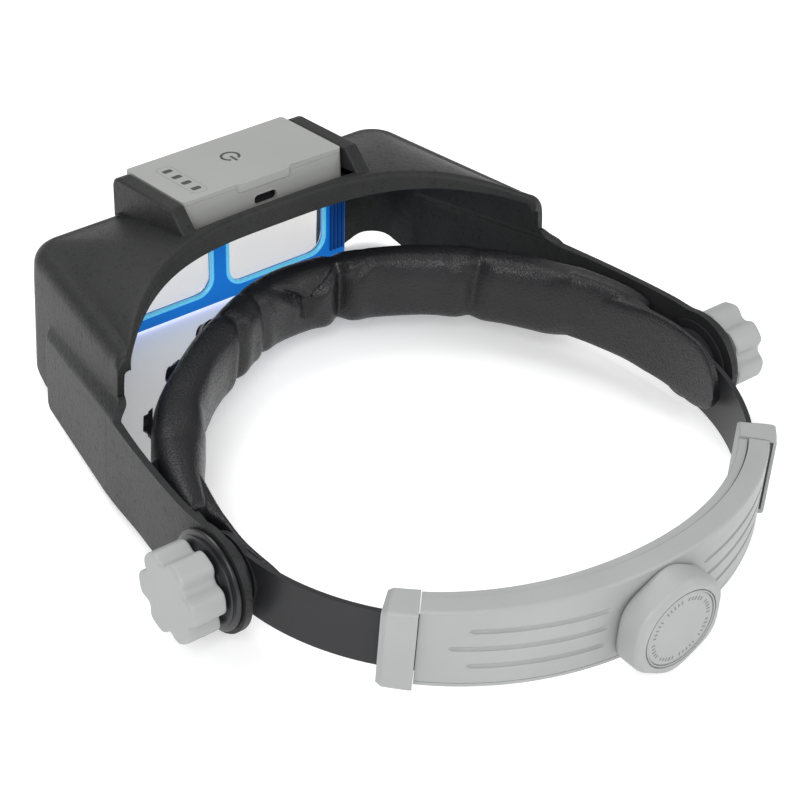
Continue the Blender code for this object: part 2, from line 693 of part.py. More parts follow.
def make_ratchet(parent, mats):
    """Knob outside the cover, on the pinion's shaft. The parent's origin is on the axis in
    the middle of the straps."""
    outside = HOUSING_DEPTH / 2
    levels = [(1.0, 0.3 * MM), (1.02, 1.2 * MM), (1.0, RATCHET_KNOB_DEPTH - 2.4 * MM),
              (0.96, RATCHET_KNOB_DEPTH - 0.8 * MM), (0.90, RATCHET_KNOB_DEPTH)]
    loops = []
    for scale, height in levels:
        outline = lobed_outline(RATCHET_KNOB_R * scale, 0.35 * MM, 6, 8)
        loops.append([(x, y, outside + height) for x, y in outline])
    knob = make_object("ratchet_knob", loft(loops), mats["grey"], parent, (0, 0, 0), ALONG_Y)
    face = outside + RATCHET_KNOB_DEPTH
    shaft_end = face - KNOB_CAP_THICK - 3.2 * MM
    cut(knob, "cap_recess", cylinder(KNOB_CAP_R + GAP, face - KNOB_CAP_THICK - 0.6 * MM, face + 2 * MM, 40),
        (0, 0, 0), ALONG_Y)
    cut(knob, "knob_shaft_bore", cylinder(SHAFT_R + GAP, 0, shaft_end + GAP, 20), (0, 0, 0), ALONG_Y)
    cut(knob, "knob_screw_bore", cylinder(1.9 * MM + GAP, 0, face, 16), (0, 0, 0), ALONG_Y)
    cap_low = face - KNOB_CAP_THICK - 0.6 * MM + GAP
    cap = turned([(0, cap_low), (KNOB_CAP_R, cap_low), (KNOB_CAP_R, cap_low + KNOB_CAP_THICK - 0.4 * MM),
                  (KNOB_CAP_R - 0.4 * MM, cap_low + KNOB_CAP_THICK), (0, cap_low + KNOB_CAP_THICK)], 40)
    make_object("knob_cap", cap, mats["grey"], parent, (0, 0, 0), ALONG_Y)

    half = SIDE_STRAP_THICK / 2
    pinion = make_object("pinion", prism(gear_outline(PINION_TEETH, PINION_PITCH_R, PINION_TOOTH), -half, half),
                         mats["nylon"], parent, (0, 0, 0), ALONG_Y)
    low = -HOUSING_DEPTH / 2 + BASE_THICK - 1.2 * MM + GAP
    add(pinion, "pinion_shaft", cylinder(SHAFT_R, low, shaft_end, 20), (0, 0, 0), ALONG_Y)
    screw_low = shaft_end - 5 * MM
    cut(pinion, "pinion_screw_hole", cylinder(1.0 * MM + GAP, screw_low - GAP, shaft_end + 1 * MM, 12),
        (0, 0, 0), ALONG_Y)
    screw_face = shaft_end + 1.6 * MM
    screw = turned([(0, screw_low), (1.0 * MM, screw_low), (1.0 * MM, shaft_end + GAP),
                    (1.9 * MM, shaft_end + GAP), (1.9 * MM, screw_face), (0, screw_face)], 14)
    make_object("knob_screw", screw, mats["steel"], parent, (0, 0, 0), ALONG_Y)


def make_detent(parent, material, location):
    """Click washer on the shaft, between the pinion and the cover."""
    low = SIDE_STRAP_THICK / 2 + GAP
    bore = SHAFT_R + GAP
    profile = [(bore, low), (bore + 3 * MM, low), (bore + 3 * MM, low + 0.8 * MM), (bore, low + 0.8 * MM)]
    return make_object("detent_washer", turned(profile, 20), material, parent, location, ALONG_Y)


# ---------------------------------------------------------------- visor hood

def hood_edge(steps):
    """Stations round one half of the hood's top edge, from the middle of the front to the
    rear end of the side: plan point, outward normal and top height."""
    front = Vector((HOOD_FRONT_HALF_W, HOOD_FRONT_Y))
    rear = Vector((HOOD_REAR_HALF_W, HOOD_REAR_Y))
    along = (rear - front).normalized()
    side_normal = Vector((along.y, -along.x))
    turn = math.atan2(along.y, along.x)
    tangent = HOOD_CORNER_R * math.tan(turn / 2)
    centre = Vector((front.x - tangent, HOOD_FRONT_Y + HOOD_CORNER_R))
    stations = [(Vector((centre.x * i / steps, HOOD_FRONT_Y)), Vector((0, -1))) for i in range(steps)]
    for i in range(steps + 1):
        a = -math.pi / 2 + turn * i / steps
        normal = Vector((math.cos(a), math.sin(a)))
        stations.append((centre + normal * HOOD_CORNER_R, normal))
    corner_end = front + along * tangent
    step_y = (ARM_FRONT_Y, ARM_FRONT_Y + 1.2 * MM)
    for y in (step_y[0], step_y[1]):
        stations.append((corner_end.lerp(rear, (y - corner_end.y) / (rear.y - corner_end.y)), side_normal))
    for i in range(1, 2 * steps + 1):
        y = mix(step_y[1], rear.y, i / (2 * steps))
        stations.append((corner_end.lerp(rear, (y - corner_end.y) / (rear.y - corner_end.y)), side_normal))
    return stations


def brow_point(x):
    u = min(abs(x) / BROW_HALF_W, 1.0)
    y = mix(BROW_MIDDLE_Y, HOOD_REAR_Y, u ** 2.7)
    z = mix(BROW_MIDDLE_Z, HOOD_TOP_REAR_Z, u ** 3.8)
    return Vector((x, y, z))


def brow_by_length(shares):
    """Brow points at the given shares of its half length."""
    fine = [brow_point(BROW_HALF_W * i / 200) for i in range(201)]
    lengths = [0.0]
    for a, b in zip(fine, fine[1:]):
        lengths.append(lengths[-1] + (b - a).length)
    points = []
    for share in shares:
        target = share * lengths[-1]
        i = min(next((k for k, s in enumerate(lengths) if s >= target), 200), 200)
        points.append(fine[i].copy())
    return points


def hood_section(point, normal, brow, wall):
    """Heights and plan offsets from the bottom edge up over the fold to the brow's lower
    edge. wall 0 gives the outer skin, and the wall's thickness gives the inner one."""
    y = point.y
    back = min(max((y - HOOD_FRONT_Y) / (HOOD_REAR_Y - HOOD_FRONT_Y), 0), 1)
    top = mix(HOOD_TOP_FRONT_Z, HOOD_TOP_REAR_Z, back) - wall
    step_y = ARM_FRONT_Y + (1.5 * wall if wall else 0.6 * MM)
    on_arm = y > step_y
    share = min(max((y - ARM_FRONT_Y) / (HOOD_REAR_Y - ARM_FRONT_Y), 0), 1)
    out = mix(LEDGE_FRONT_OUT, LEDGE_REAR_OUT, share) if on_arm else 0.0
    ledge = mix(LEDGE_FRONT_Z, LEDGE_REAR_Z, share)
    bottom = ARM_BOTTOM_Z if y > ARM_FRONT_Y + 0.6 * MM else HOOD_BOTTOM_Z
    outer_top = top + wall

    def wall_point(z, offset):
        spread = (outer_top - z) * HOOD_DRAFT + offset - wall
        return Vector((point.x + normal.x * spread, point.y + normal.y * spread, z))

    section = [wall_point(bottom, out), wall_point(ledge - wall * 0.6, out),
               wall_point(ledge + LEDGE_RISE - wall * 0.6, 0)]
    plan = Vector((brow.x, brow.y))
    reach = (plan - point).length
    radius = max(min(HOOD_FOLD_R, reach * 0.8) - wall, 0.6 * MM)
    centre = point - normal * (radius + wall)
    for i in range(4):
        a = math.pi / 2 * i / 3
        spread = radius * math.cos(a)
        section.append(Vector((centre.x + normal.x * spread, centre.y + normal.y * spread,
                               top - radius + radius * math.sin(a))))
    edge = Vector((centre.x, centre.y, top))
    inset = (plan - Vector((centre.x, centre.y)))
    inset = inset.normalized() * min(wall, inset.length * 0.5) if wall else Vector((0, 0))
    rim = Vector((brow.x - inset.x, brow.y - inset.y, brow.z - wall))
    middle = edge.lerp(rim, 0.5)
    middle.z += 0.12 * (rim.z - edge.z)
    u = abs(brow.x) / BROW_HALF_W
    drop = mix(BROW_DROP_MIDDLE, BROW_DROP_END, u ** 2)
    section += [middle, rim, Vector((rim.x, rim.y, brow.z - drop))]
    return section


def arm_section(y, wall):
    """The arm behind the hood: two points, at its lower and upper edges. It is flat beside
    the washers."""
    rear_x = HOOD_REAR_HALF_W + LEDGE_REAR_OUT + (HOOD_TOP_REAR_Z - ARM_TOP_REAR_Z) * HOOD_DRAFT
    pivot_x = pivot_stack()["arm"] + ARM_THICK - 0.2 * MM
    share = (y - HOOD_REAR_Y) / -HOOD_REAR_Y
    x = mix(rear_x, pivot_x, min(1, (y - HOOD_REAR_Y) / (-ARM_DISC_R - HOOD_REAR_Y))) - wall
    top = mix(LEDGE_REAR_Z, ARM_TOP_REAR_Z, share)
    bottom = mix(ARM_BOTTOM_Z, -ARM_DISC_R * 0.86, share ** 2)
    return [Vector((x, y, bottom)), Vector((x, y, top))]


def make_hood(parent, material):
    steps = 5
    stations = hood_edge(steps)
    lengths = [0.0]
    for (a, _), (b, _) in zip(stations, stations[1:]):
        lengths.append(lengths[-1] + (b - a).length)
    brows = brow_by_length([s / lengths[-1] for s in lengths])
    arm_ys = [mix(HOOD_REAR_Y, -ARM_DISC_R, i / 5) for i in range(1, 6)] + [-ARM_DISC_R / 2, 0]
    skins = []
    for wall in (0.0, HOOD_WALL):
        half = [hood_section(p, n, b, wall) for (p, n), b in zip(stations, brows)]
        half += [arm_section(y, wall) for y in arm_ys]
        mirrored = [[Vector((-p.x, p.y, p.z)) for p in section] for section in reversed(half[1:])]
        skins.append(mirrored + half)
    faces, index, points = [], {}, ([], [])
    for s, section in enumerate(skins[0]):
        for v in range(len(section)):
            index[(s, v)] = len(points[0])
            points[0].append(section[v])
            points[1].append(skins[1][s][v])
    for s in range(len(skins[0]) - 1):
        count = min(len(skins[0][s]), len(skins[0][s + 1]))
        for v in range(count - 1):
            faces.append([index[(s, v)], index[(s + 1, v)], index[(s + 1, v + 1)], index[(s, v + 1)]])
    hood = make_object("visor_hood", thicken(points[0], points[1], faces), material, parent)
    add_cradle(hood)
    stack = pivot_stack()
    for side, label in ((1, "left"), (-1, "right")):
        turn = (0, side * math.pi / 2, 0)
        add(hood, f"arm_disc_{label}", cylinder(ARM_DISC_R, stack["arm"], stack["arm"] + ARM_THICK, 36),
            (0, 0, 0), turn)
        cut(hood, f"arm_hole_{label}", cylinder(BOLT_R + GAP, stack["arm"] - 9 * MM, stack["end"], 16),
            (0, 0, 0), turn)
    window_top = HOOD_BOTTOM_Z + LENS_FRAME_RAIL + LENS_H + 1.0 * MM
    window_half = LENS_POST / 2 + LENS_W + 2.0 * MM
    cut(hood, "front_window",
        block(2 * window_half, 12 * MM, HOOD_BOTTOM_Z - 6 * MM, window_top, (0, HOOD_FRONT_Y)))
    return hood


def lamp_bottom_front():
    """Lower front edge of the lamp's bay, in the visor's frame."""
    return LAMP_TOP_FRONT_Z - LAMP_H - GAP


def add_cradle(hood):
    """Cheeks on both sides of the lamp, a floor under it, and the bay between them."""
    half = LAMP_W / 2 + GAP
    outer = half + CHEEK_THICK
    rear = BROW_MIDDLE_Y - HOOD_WALL
    floor = lamp_bottom_front()
    rise = math.tan(math.radians(LAMP_PITCH))
    lamp_rear = HOOD_FRONT_Y + LAMP_LENGTH
    cheek_top = LAMP_TOP_FRONT_Z + 0.2 * MM
    under = floor - HOOD_WALL
    side_outline = [(HOOD_FRONT_Y, under), (HOOD_FRONT_Y, cheek_top - 2 * MM),
                    (HOOD_FRONT_Y + 0.6 * MM, cheek_top - 0.6 * MM), (HOOD_FRONT_Y + 2 * MM, cheek_top),
                    (lamp_rear + 1 * MM, cheek_top + (LAMP_LENGTH + 1 * MM) * rise),
                    (rear + 1.6 * MM, BROW_MIDDLE_Z - 1.2 * MM), (rear + 1.6 * MM, under + LAMP_LENGTH * rise)]
    loops = [[(x, y, z) for y, z in side_outline] for x in (-outer, outer)]
    add(hood, "cradle_block", loft(loops))
    bay_outline = [(HOOD_FRONT_Y - 5 * MM, floor - 5 * MM * rise), (HOOD_FRONT_Y - 5 * MM, floor + 30 * MM),
                   (rear, floor + 30 * MM), (rear, floor + (rear - HOOD_FRONT_Y) * rise)]
    loops = [[(x, y, z) for y, z in bay_outline] for x in (-half, half)]
    cut(hood, "lamp_bay", loft(loops))


# ---------------------------------------------------------------- lens plate

def lens_centre_x(side):
    return side * (LENS_POST + LENS_W) / 2


def lens_centre_z():
    return HOOD_BOTTOM_Z + LENS_FRAME_RAIL + LENS_H / 2


def lens_front_y():
    return HOOD_FRONT_Y + HOOD_WALL + GAP


def upright(bm):
    """Turn an outline drawn in X and Y to stand in X and Z, with its depth along +Y."""
    bmesh.ops.rotate(bm, verts=bm.verts, cent=(0, 0, 0), matrix=Matrix.Rotation(math.pi / 2, 3, "X"))
    bmesh.ops.scale(bm, verts=bm.verts, vec=(1, -1, 1))
    return bm


def make_lens_plate(parent, mats):
    front = lens_front_y()
    height = LENS_H + 2 * LENS_FRAME_RAIL
    centre_z = lens_centre_z()
    outline = rounded_rectangle(2 * LENS_FRAME_HALF_W, height, 2.5 * MM, 3, (0, centre_z))
    plate = make_object("lens_frame", upright(prism(outline, front, front + LENS_FRAME_THICK)),
                        mats["blue"], parent)
    for side, label in ((1, "left"), (-1, "right")):
        centre = (lens_centre_x(side), centre_z)
        window = rounded_rectangle(LENS_W, LENS_H, LENS_CORNER_R, 4, centre)
        cut(plate, f"lens_window_{label}", upright(prism(window, front - 1 * MM, front + 9 * MM)))
        seat = rounded_rectangle(LENS_W + 2 * LENS_SEAT, LENS_H + 2 * LENS_SEAT,
                                 LENS_CORNER_R + LENS_SEAT, 4, centre)
        cut(plate, f"lens_seat_{label}", upright(prism(seat, front - 1 * MM, front + LENS_THICK)))
        lens = rounded_rectangle(LENS_W + 2 * LENS_SEAT - 2 * GAP, LENS_H + 2 * LENS_SEAT - 2 * GAP,
                                 LENS_CORNER_R + LENS_SEAT - GAP, 4, centre)
        make_object(f"lens_{label}", upright(prism(lens, front, front + LENS_THICK - GAP)),
                    mats["lens"], parent)
        make_lens_screw(label, side, plate, front, parent, mats["steel"])
    return plate


def make_lens_screw(label, side, plate, front, parent, material):
    window_edge = LENS_POST / 2 + LENS_W
    x = side * (window_edge + LENS_FRAME_HALF_W) / 2
    z = lens_centre_z() + LENS_H / 2
    back = front + LENS_FRAME_THICK
    low = HOOD_FRONT_Y + 0.8 * MM
    cut(plate, f"plate_screw_hole_{label}", cylinder(LENS_SCREW_R + GAP, front - 1 * MM, back + 1 * MM, 12),
        (x, 0, z), ALONG_Y)
    cut(bpy.data.objects["visor_hood"], f"hood_screw_hole_{label}",
        cylinder(LENS_SCREW_R + GAP, low - GAP, front + 1 * MM, 12), (x, 0, z), ALONG_Y)
    head = back + GAP
    profile = [(0, low), (LENS_SCREW_R, low), (LENS_SCREW_R, head), (LENS_SCREW_HEAD_R, head),
               (LENS_SCREW_HEAD_R, head + 1.2 * MM), (LENS_SCREW_HEAD_R * 0.7, head + 1.8 * MM),
               (0, head + 1.8 * MM)]
    make_object(f"lens_screw_{label}", turned(profile, 16), material, parent, (x, 0, z), ALONG_Y)


# ---------------------------------------------------------------- lamp

def make_lamp(parent, mats):
    """The lamp's own frame has its origin at the middle of its lower front edge."""
    length, height = LAMP_LENGTH, LAMP_H
    middle = (0, length / 2)
    split = height - LAMP_COVER_THICK
    body = block(LAMP_W, length, 0, split, middle, LAMP_CORNER_R, 3)
    case = make_object("lamp_case", body, mats["grey"], parent)
    cut(case, "lamp_case_hollow", block(LAMP_W - 2 * LAMP_WALL, length - 2 * LAMP_WALL, LAMP_WALL,
                                        height + 5 * MM, middle, 1 * MM, 2))
    window_w = LED_SPACING + 6 * LED_R
    window_h = 3 * LED_R
    window_z = 1.6 * MM + LAMP_WALL + window_h / 2
    opening = rounded_rectangle(window_w, window_h, 2 * MM, 3, (0, window_z))
    cut(case, "lamp_window_hole", upright(prism(opening, -2 * MM, LAMP_WALL + 0.4 * MM)))
    pane = rounded_rectangle(window_w - 2 * GAP, window_h - 2 * GAP, 2 * MM - GAP, 3, (0, window_z))
    make_object("lamp_window", upright(prism(pane, GAP, LAMP_WALL)), mats["lens"], parent)
    usb_z = height * 0.42
    slot = rounded_rectangle(USB_W + 2 * GAP, USB_H + 2 * GAP, USB_H / 2, 4, (0, usb_z))
    cut(case, "usb_hole", upright(prism(slot, length - LAMP_WALL - 0.5 * MM, length + 2 * MM)))
    make_lamp_cover(parent, mats, split, middle)
    make_lamp_electrics(parent, mats, window_z, usb_z)


def make_lamp_cover(parent, mats, split, middle):
    """Top cover with a raised finger lip on its rear edge and four indicator windows."""
    cover = make_object("lamp_cover", block(LAMP_W, LAMP_LENGTH, split + GAP, LAMP_H, middle,
                                            LAMP_CORNER_R, 3), mats["grey"], parent)
    lip = [(-13 * MM, -2.6 * MM), (13 * MM, -2.6 * MM), (11 * MM, 0.7 * MM), (-11 * MM, 0.7 * MM)]
    lip = [(x, LAMP_LENGTH + y) for x, y in lip]
    add(cover, "finger_lip", prism(lip, split + GAP + 0.2 * MM, LAMP_H + 0.5 * MM))
    width, depth = INDICATOR_SIZE
    centre_x = LAMP_W / 2 - 10.2 * MM
    centre_y = LAMP_LENGTH / 2 + 2.2 * MM
    run = INDICATORS * INDICATOR_PITCH
    guide = make_object("light_guide", block(depth + 2 * MM, run, split - 1 * MM, split - 0.05 * MM,
                                             (centre_x, centre_y)), mats["nylon"], parent)
    for i in range(INDICATORS):
        centre = (centre_x, centre_y + (i - (INDICATORS - 1) / 2) * INDICATOR_PITCH)
        hole = rounded_rectangle(depth, width, 0.5 * MM, 2, centre)
        cut(cover, f"indicator_hole_{i}", prism(hole, split - 1 * MM, LAMP_H + 1 * MM))
        pane = rounded_rectangle(depth - 2 * GAP, width - 2 * GAP, 0.3 * MM, 2, centre)
        add(guide, f"indicator_pane_{i}", prism(pane, split - 0.5 * MM, LAMP_H - 0.2 * MM))


def make_lamp_electrics(parent, mats, window_z, usb_z):
    board_y = LAMP_WALL + GAP
    inside = LAMP_LENGTH - 2 * LAMP_WALL
    board_z = LAMP_WALL + 0.6 * MM
    board = block(LAMP_W - 2 * LAMP_WALL - 4 * MM, inside - 6 * MM, board_z, board_z + 1.0 * MM,
                  (0, LAMP_LENGTH / 2 + 2.4 * MM))
    make_object("circuit_board", board, mats["board"], parent)
    cell_low = board_z + 1.0 * MM + GAP
    cell_w = LAMP_W / 2 - LAMP_WALL - USB_W / 2 - 4 * MM
    cell = block(cell_w, inside - 9 * MM, cell_low, cell_low + 4.8 * MM,
                 (-(USB_W / 2 + 2 * MM + cell_w / 2), LAMP_LENGTH / 2 + 2.4 * MM), 1.2 * MM, 2)
    make_object("battery", cell, mats["foil"], parent)
    for side, label in ((1, "left"), (-1, "right")):
        led = turned([(0, board_y + 3.8 * MM), (LED_R, board_y + 3.8 * MM), (LED_R, board_y + 1.6 * MM),
                      (LED_R * 0.7, board_y + 0.6 * MM), (0, board_y + GAP)], 16)
        make_object(f"led_{label}", led, mats["led"], parent, (side * LED_SPACING / 2, 0, window_z), ALONG_Y)
    shell = rounded_rectangle(USB_W, USB_H, USB_H / 2 - 0.1 * MM, 4, (0, usb_z))
    socket = make_object("usb_socket", upright(prism(shell, LAMP_LENGTH - USB_DEPTH, LAMP_LENGTH - 0.3 * MM)),
                         mats["steel"], parent)
    mouth = rounded_rectangle(USB_W - 0.8 * MM, USB_H - 0.8 * MM, USB_H / 2 - 0.5 * MM, 4, (0, usb_z))
    cut(socket, "usb_mouth", upright(prism(mouth, LAMP_LENGTH - USB_DEPTH + 1.2 * MM, LAMP_LENGTH + 1 * MM)))


# ---------------------------------------------------------------- assembly

def make_materials():
    return {
        "black": make_material("black_plastic", (0.035, 0.035, 0.037), 0.55),
        "grey": make_material("grey_plastic", (0.42, 0.43, 0.43), 0.5),
        "blue": make_material("blue_plastic", (0.005, 0.19, 0.75), 0.25),
        "lens": make_material("clear_lens", (0.9, 0.93, 0.95), 0.05, 0.0, 0.3),
        "pad": make_material("leatherette", (0.02, 0.02, 0.021), 0.45),
        "strap": make_material("band_plastic", (0.03, 0.031, 0.035), 0.4),
        "steel": make_material("plated_steel", (0.55, 0.55, 0.55), 0.3, 1.0),
        "brass": make_material("brass", (0.6, 0.45, 0.18), 0.35, 1.0),
        "nylon": make_material("dark_nylon", (0.05, 0.05, 0.05), 0.5),
        "board": make_material("board_green", (0.02, 0.15, 0.06), 0.5),
        "foil": make_material("cell_foil", (0.5, 0.52, 0.55), 0.35, 1.0),
        "led": make_material("led_resin", (0.9, 0.88, 0.7), 0.2),
    }


def stand_on_origin(root):
    """Move the whole part so that the middle of its box's bottom is the world's origin."""
    bpy.context.view_layer.update()
    graph = bpy.context.evaluated_depsgraph_get()
    low = Vector((math.inf,) * 3)
    high = Vector((-math.inf,) * 3)
    for obj in bpy.data.objects:
        if obj.type != "MESH" or obj.hide_render:
            continue
        for corner in obj.evaluated_get(graph).data.vertices:
            point = obj.matrix_world @ corner.co
            low = Vector(map(min, low, point))
            high = Vector(map(max, high, point))
    root.location -= Vector(((low.x + high.x) / 2, (low.y + high.y) / 2, low.z))
    bpy.context.view_layer.update()


def build():
    clear_scene()
    mats = make_materials()
    band = make_empty("headband_frame")
    visor = make_empty("visor_frame", band, rotation=(math.radians(VISOR_DROOP), 0, 0))
    lamp = make_empty("lamp_frame", visor, (0, HOOD_FRONT_Y, lamp_bottom_front() + GAP),
                      (math.radians(LAMP_PITCH), 0, 0))
    ratchet_axis = (0, RING_REAR_REACH, RATCHET_Z)
    ratchet = make_empty("ratchet_frame", band, ratchet_axis)

    make_front_strap(band, mats["strap"])
    make_sweat_pad(band, mats["pad"])
    make_snaps(band, mats["nylon"])
    for label in ("left", "right"):
        make_side_strap(label, band, mats["strap"])
        make_pivot(label, band, make_empty(f"pivot_knob_frame_{label}", band), visor, mats)
        make_collar(label, band, mats["grey"])
    make_rear_cover(band, mats["grey"])
    make_rear_base(band, mats["grey"], mats["steel"])
    make_ratchet(ratchet, mats)
    make_detent(band, mats["steel"], ratchet_axis)
    make_hood(visor, mats["black"])
    make_lens_plate(visor, mats)
    make_lamp(lamp, mats)
    stand_on_origin(band)


build()
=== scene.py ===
"""Looks of the head visor magnifier: hood, lens plate, lamp, padded band and rear ratchet.

Lengths are written in millimetres times MM. A piece is drawn in the frame of the part that it
belongs to, and its place goes into its mesh.
"""
import json
import math

import bmesh
import bpy
from mathutils import Matrix, Vector, noise


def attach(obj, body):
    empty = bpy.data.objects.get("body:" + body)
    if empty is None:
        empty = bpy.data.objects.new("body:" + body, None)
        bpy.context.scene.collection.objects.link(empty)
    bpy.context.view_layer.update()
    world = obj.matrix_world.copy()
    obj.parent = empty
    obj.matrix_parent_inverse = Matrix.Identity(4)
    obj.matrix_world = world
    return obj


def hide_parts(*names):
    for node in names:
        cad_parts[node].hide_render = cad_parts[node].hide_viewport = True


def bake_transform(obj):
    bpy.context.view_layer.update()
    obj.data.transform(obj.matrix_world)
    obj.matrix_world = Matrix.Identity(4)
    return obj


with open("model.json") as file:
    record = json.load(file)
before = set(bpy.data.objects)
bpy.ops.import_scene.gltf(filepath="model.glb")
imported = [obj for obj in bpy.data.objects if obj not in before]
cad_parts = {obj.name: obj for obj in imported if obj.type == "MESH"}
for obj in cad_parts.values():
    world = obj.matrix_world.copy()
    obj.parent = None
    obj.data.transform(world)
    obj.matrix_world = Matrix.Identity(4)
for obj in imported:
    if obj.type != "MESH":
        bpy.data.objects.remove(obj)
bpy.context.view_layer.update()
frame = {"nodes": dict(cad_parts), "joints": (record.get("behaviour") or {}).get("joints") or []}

MM = 0.001
GAP = 0.3 * MM
NODES = frame["nodes"]

# ---------------------------------------------------------------- sizes shared with the CAD

RING_HALF_W = 99.6 * MM
RING_FRONT = 109.6 * MM
RING_REAR = 84.9 * MM
SIDE_STRAP_HALF_W = 96.75 * MM
STRAP_HALF_H = 10.75 * MM
DROOP = math.radians(4.57)
LAMP_PITCH = math.radians(4.0)
HOOD_FRONT_Y = -150.9 * MM
HOOD_REAR_Y = -71.0 * MM
LAMP_FLOOR_Z = 41.1 * MM
LAMP_W, LAMP_LENGTH, LAMP_H = 68.0 * MM, 35.8 * MM, 12.6 * MM
RATCHET_Z = 1.0 * MM
EAR_R = 12.5 * MM
SIDES = ((1, "left"), (-1, "right"))

PIVOT = Vector(next(j for j in frame["joints"] if j["name"] == "visor_flip")["pos_m"])
BAND = Matrix.Translation(PIVOT)
VISOR = BAND @ Matrix.Rotation(DROOP, 4, "X")
LAMP = (VISOR @ Matrix.Translation((0, HOOD_FRONT_Y, LAMP_FLOOR_Z + GAP))
        @ Matrix.Rotation(LAMP_PITCH, 4, "X"))
ALONG_Y = Matrix.Rotation(-math.pi / 2, 4, "X")
DIAL_IN_BAND = Matrix.Translation((0, RING_REAR, RATCHET_Z)) @ ALONG_Y
DIAL = BAND @ DIAL_IN_BAND


def mix(a, b, t):
    return a + (b - a) * t


def smooth_step(t):
    t = min(max(t, 0.0), 1.0)
    return t * t * (3 - 2 * t)


def steps_between(start, end, count):
    return [mix(start, end, i / count) for i in range(count + 1)]


# ---------------------------------------------------------------- mesh tools

def stitch(bm, pairs):
    """Quads between pairs of rings."""
    for ring_a, ring_b in pairs:
        for i in range(len(ring_a)):
            j = (i + 1) % len(ring_a)
            bm.faces.new((ring_a[i], ring_a[j], ring_b[j], ring_b[i]))


def new_rings(bm, loops):
    return [[bm.verts.new(p) for p in loop] for loop in loops]


def loft(loops):
    """Closed solid through loops of points, with flat ends."""
    bm = bmesh.new()
    rings = new_rings(bm, loops)
    stitch(bm, zip(rings, rings[1:]))
    bm.faces.new(rings[0])
    bm.faces.new(list(reversed(rings[-1])))
    return bm


def hoop(loops):
    """Closed ring through loops of points: the last one joins the first."""
    bm = bmesh.new()
    rings = new_rings(bm, loops)
    stitch(bm, zip(rings, rings[1:] + rings[:1]))
    return bm


def sleeve(outer_loops, inner_loops):
    """Tube with an outer and an inner skin, joined at both ends."""
    bm = bmesh.new()
    outer = new_rings(bm, outer_loops)
    inner = new_rings(bm, inner_loops)
    strips = list(zip(outer, outer[1:])) + list(zip(inner, inner[1:]))
    stitch(bm, strips + [(outer[0], inner[0]), (outer[-1], inner[-1])])
    return bm


def turned(profile, segments=64):
    """(radius, height) points turned about Z. Radius 0 makes a pole."""
    bm = bmesh.new()
    rings = []
    for r, z in profile:
        if r == 0:
            rings.append([bm.verts.new((0, 0, z))])
            continue
        turn = [2 * math.pi * i / segments for i in range(segments)]
        rings.append([bm.verts.new((r * math.cos(a), r * math.sin(a), z)) for a in turn])
    pairs = list(zip(rings, rings[1:]))
    if profile[0][0] and profile[-1][0]:
        pairs.append((rings[-1], rings[0]))
    for ring_a, ring_b in pairs:
        for i in range(segments):
            j = (i + 1) % segments
            corners = [ring_a[i % len(ring_a)], ring_a[j % len(ring_a)],
                       ring_b[j % len(ring_b)], ring_b[i % len(ring_b)]]
            bm.faces.new(list(dict.fromkeys(corners)))
    return bm


def cylinder(radius, low, high, segments):
    return turned([(0, low), (radius, low), (radius, high), (0, high)], segments)


def rounded_rectangle(width, height, radius, steps=8, centre=(0, 0)):
    points = []
    for quarter, (sx, sy) in enumerate(((1, -1), (1, 1), (-1, 1), (-1, -1))):
        cx = centre[0] + sx * (width / 2 - radius)
        cy = centre[1] + sy * (height / 2 - radius)
        for i in range(steps + 1):
            a = math.pi / 2 * (quarter - 1 + i / steps)
            points.append((cx + radius * math.cos(a), cy + radius * math.sin(a)))
    return points


def prism(outline, low, high):
    return loft([[(x, y, z) for x, y in outline] for z in (low, high)])


def prism_along_x(outline, low, high):
    """Outline in Y and Z, extruded along X."""
    return loft([[(x, y, z) for y, z in outline] for x in (low, high)])


def upright(bm):
    """Stand an outline drawn in X and Y up in X and Z, with its depth along +Y."""
    for v in bm.verts:
        x, y, z = v.co
        v.co = (x, z, y)
    return bm


def block(width, length, low, high, centre=(0, 0), radius=1.0 * MM):
    return prism(rounded_rectangle(width, length, radius, 5, centre), low, high)


def mirrored(points, side):
    return [(side * p.x, p.y, p.z) for p in points]


def scene_object(name, data):
    obj = bpy.data.objects.new(name, data)
    bpy.context.scene.collection.objects.link(obj)
    return obj


def mesh_object(name, bm, place=None):
    bmesh.ops.recalc_face_normals(bm, faces=bm.faces)
    mesh = bpy.data.meshes.new(name)
    bm.to_mesh(mesh)
    bm.free()
    if place is not None:
        mesh.transform(place)
    return scene_object(name, mesh)


def bake_modifiers(obj):
    """Turn the object's modifiers into its mesh."""
    graph = bpy.context.evaluated_depsgraph_get()
    graph.update()
    mesh = bpy.data.meshes.new_from_object(obj.evaluated_get(graph), depsgraph=graph)
    obj.modifiers.clear()
    obj.data = mesh


def combine(obj, bm, operation, place=None):
    tool = mesh_object(obj.name + "_tool", bm, place)
    mod = obj.modifiers.new("join", "BOOLEAN")
    mod.operation = operation
    mod.solver = "EXACT"
    mod.object = tool
    bake_modifiers(obj)
    bpy.data.objects.remove(tool)


def cut(obj, bm, place=None):
    combine(obj, bm, "DIFFERENCE", place)


def add(obj, bm, place=None):
    combine(obj, bm, "UNION", place)


def joined(name, solids):
    """One piece from several closed solids."""
    obj = mesh_object(name, solids[0])
    for bm in solids[1:]:
        add(obj, bm)
    return obj


def round_edges(obj, width, segments=3, angle=35):
    mod = obj.modifiers.new("round", "BEVEL")
    mod.width = width
    mod.segments = segments
    mod.limit_method = "ANGLE"
    mod.angle_limit = math.radians(angle)
    mod.miter_outer = "MITER_ARC"
    bake_modifiers(obj)


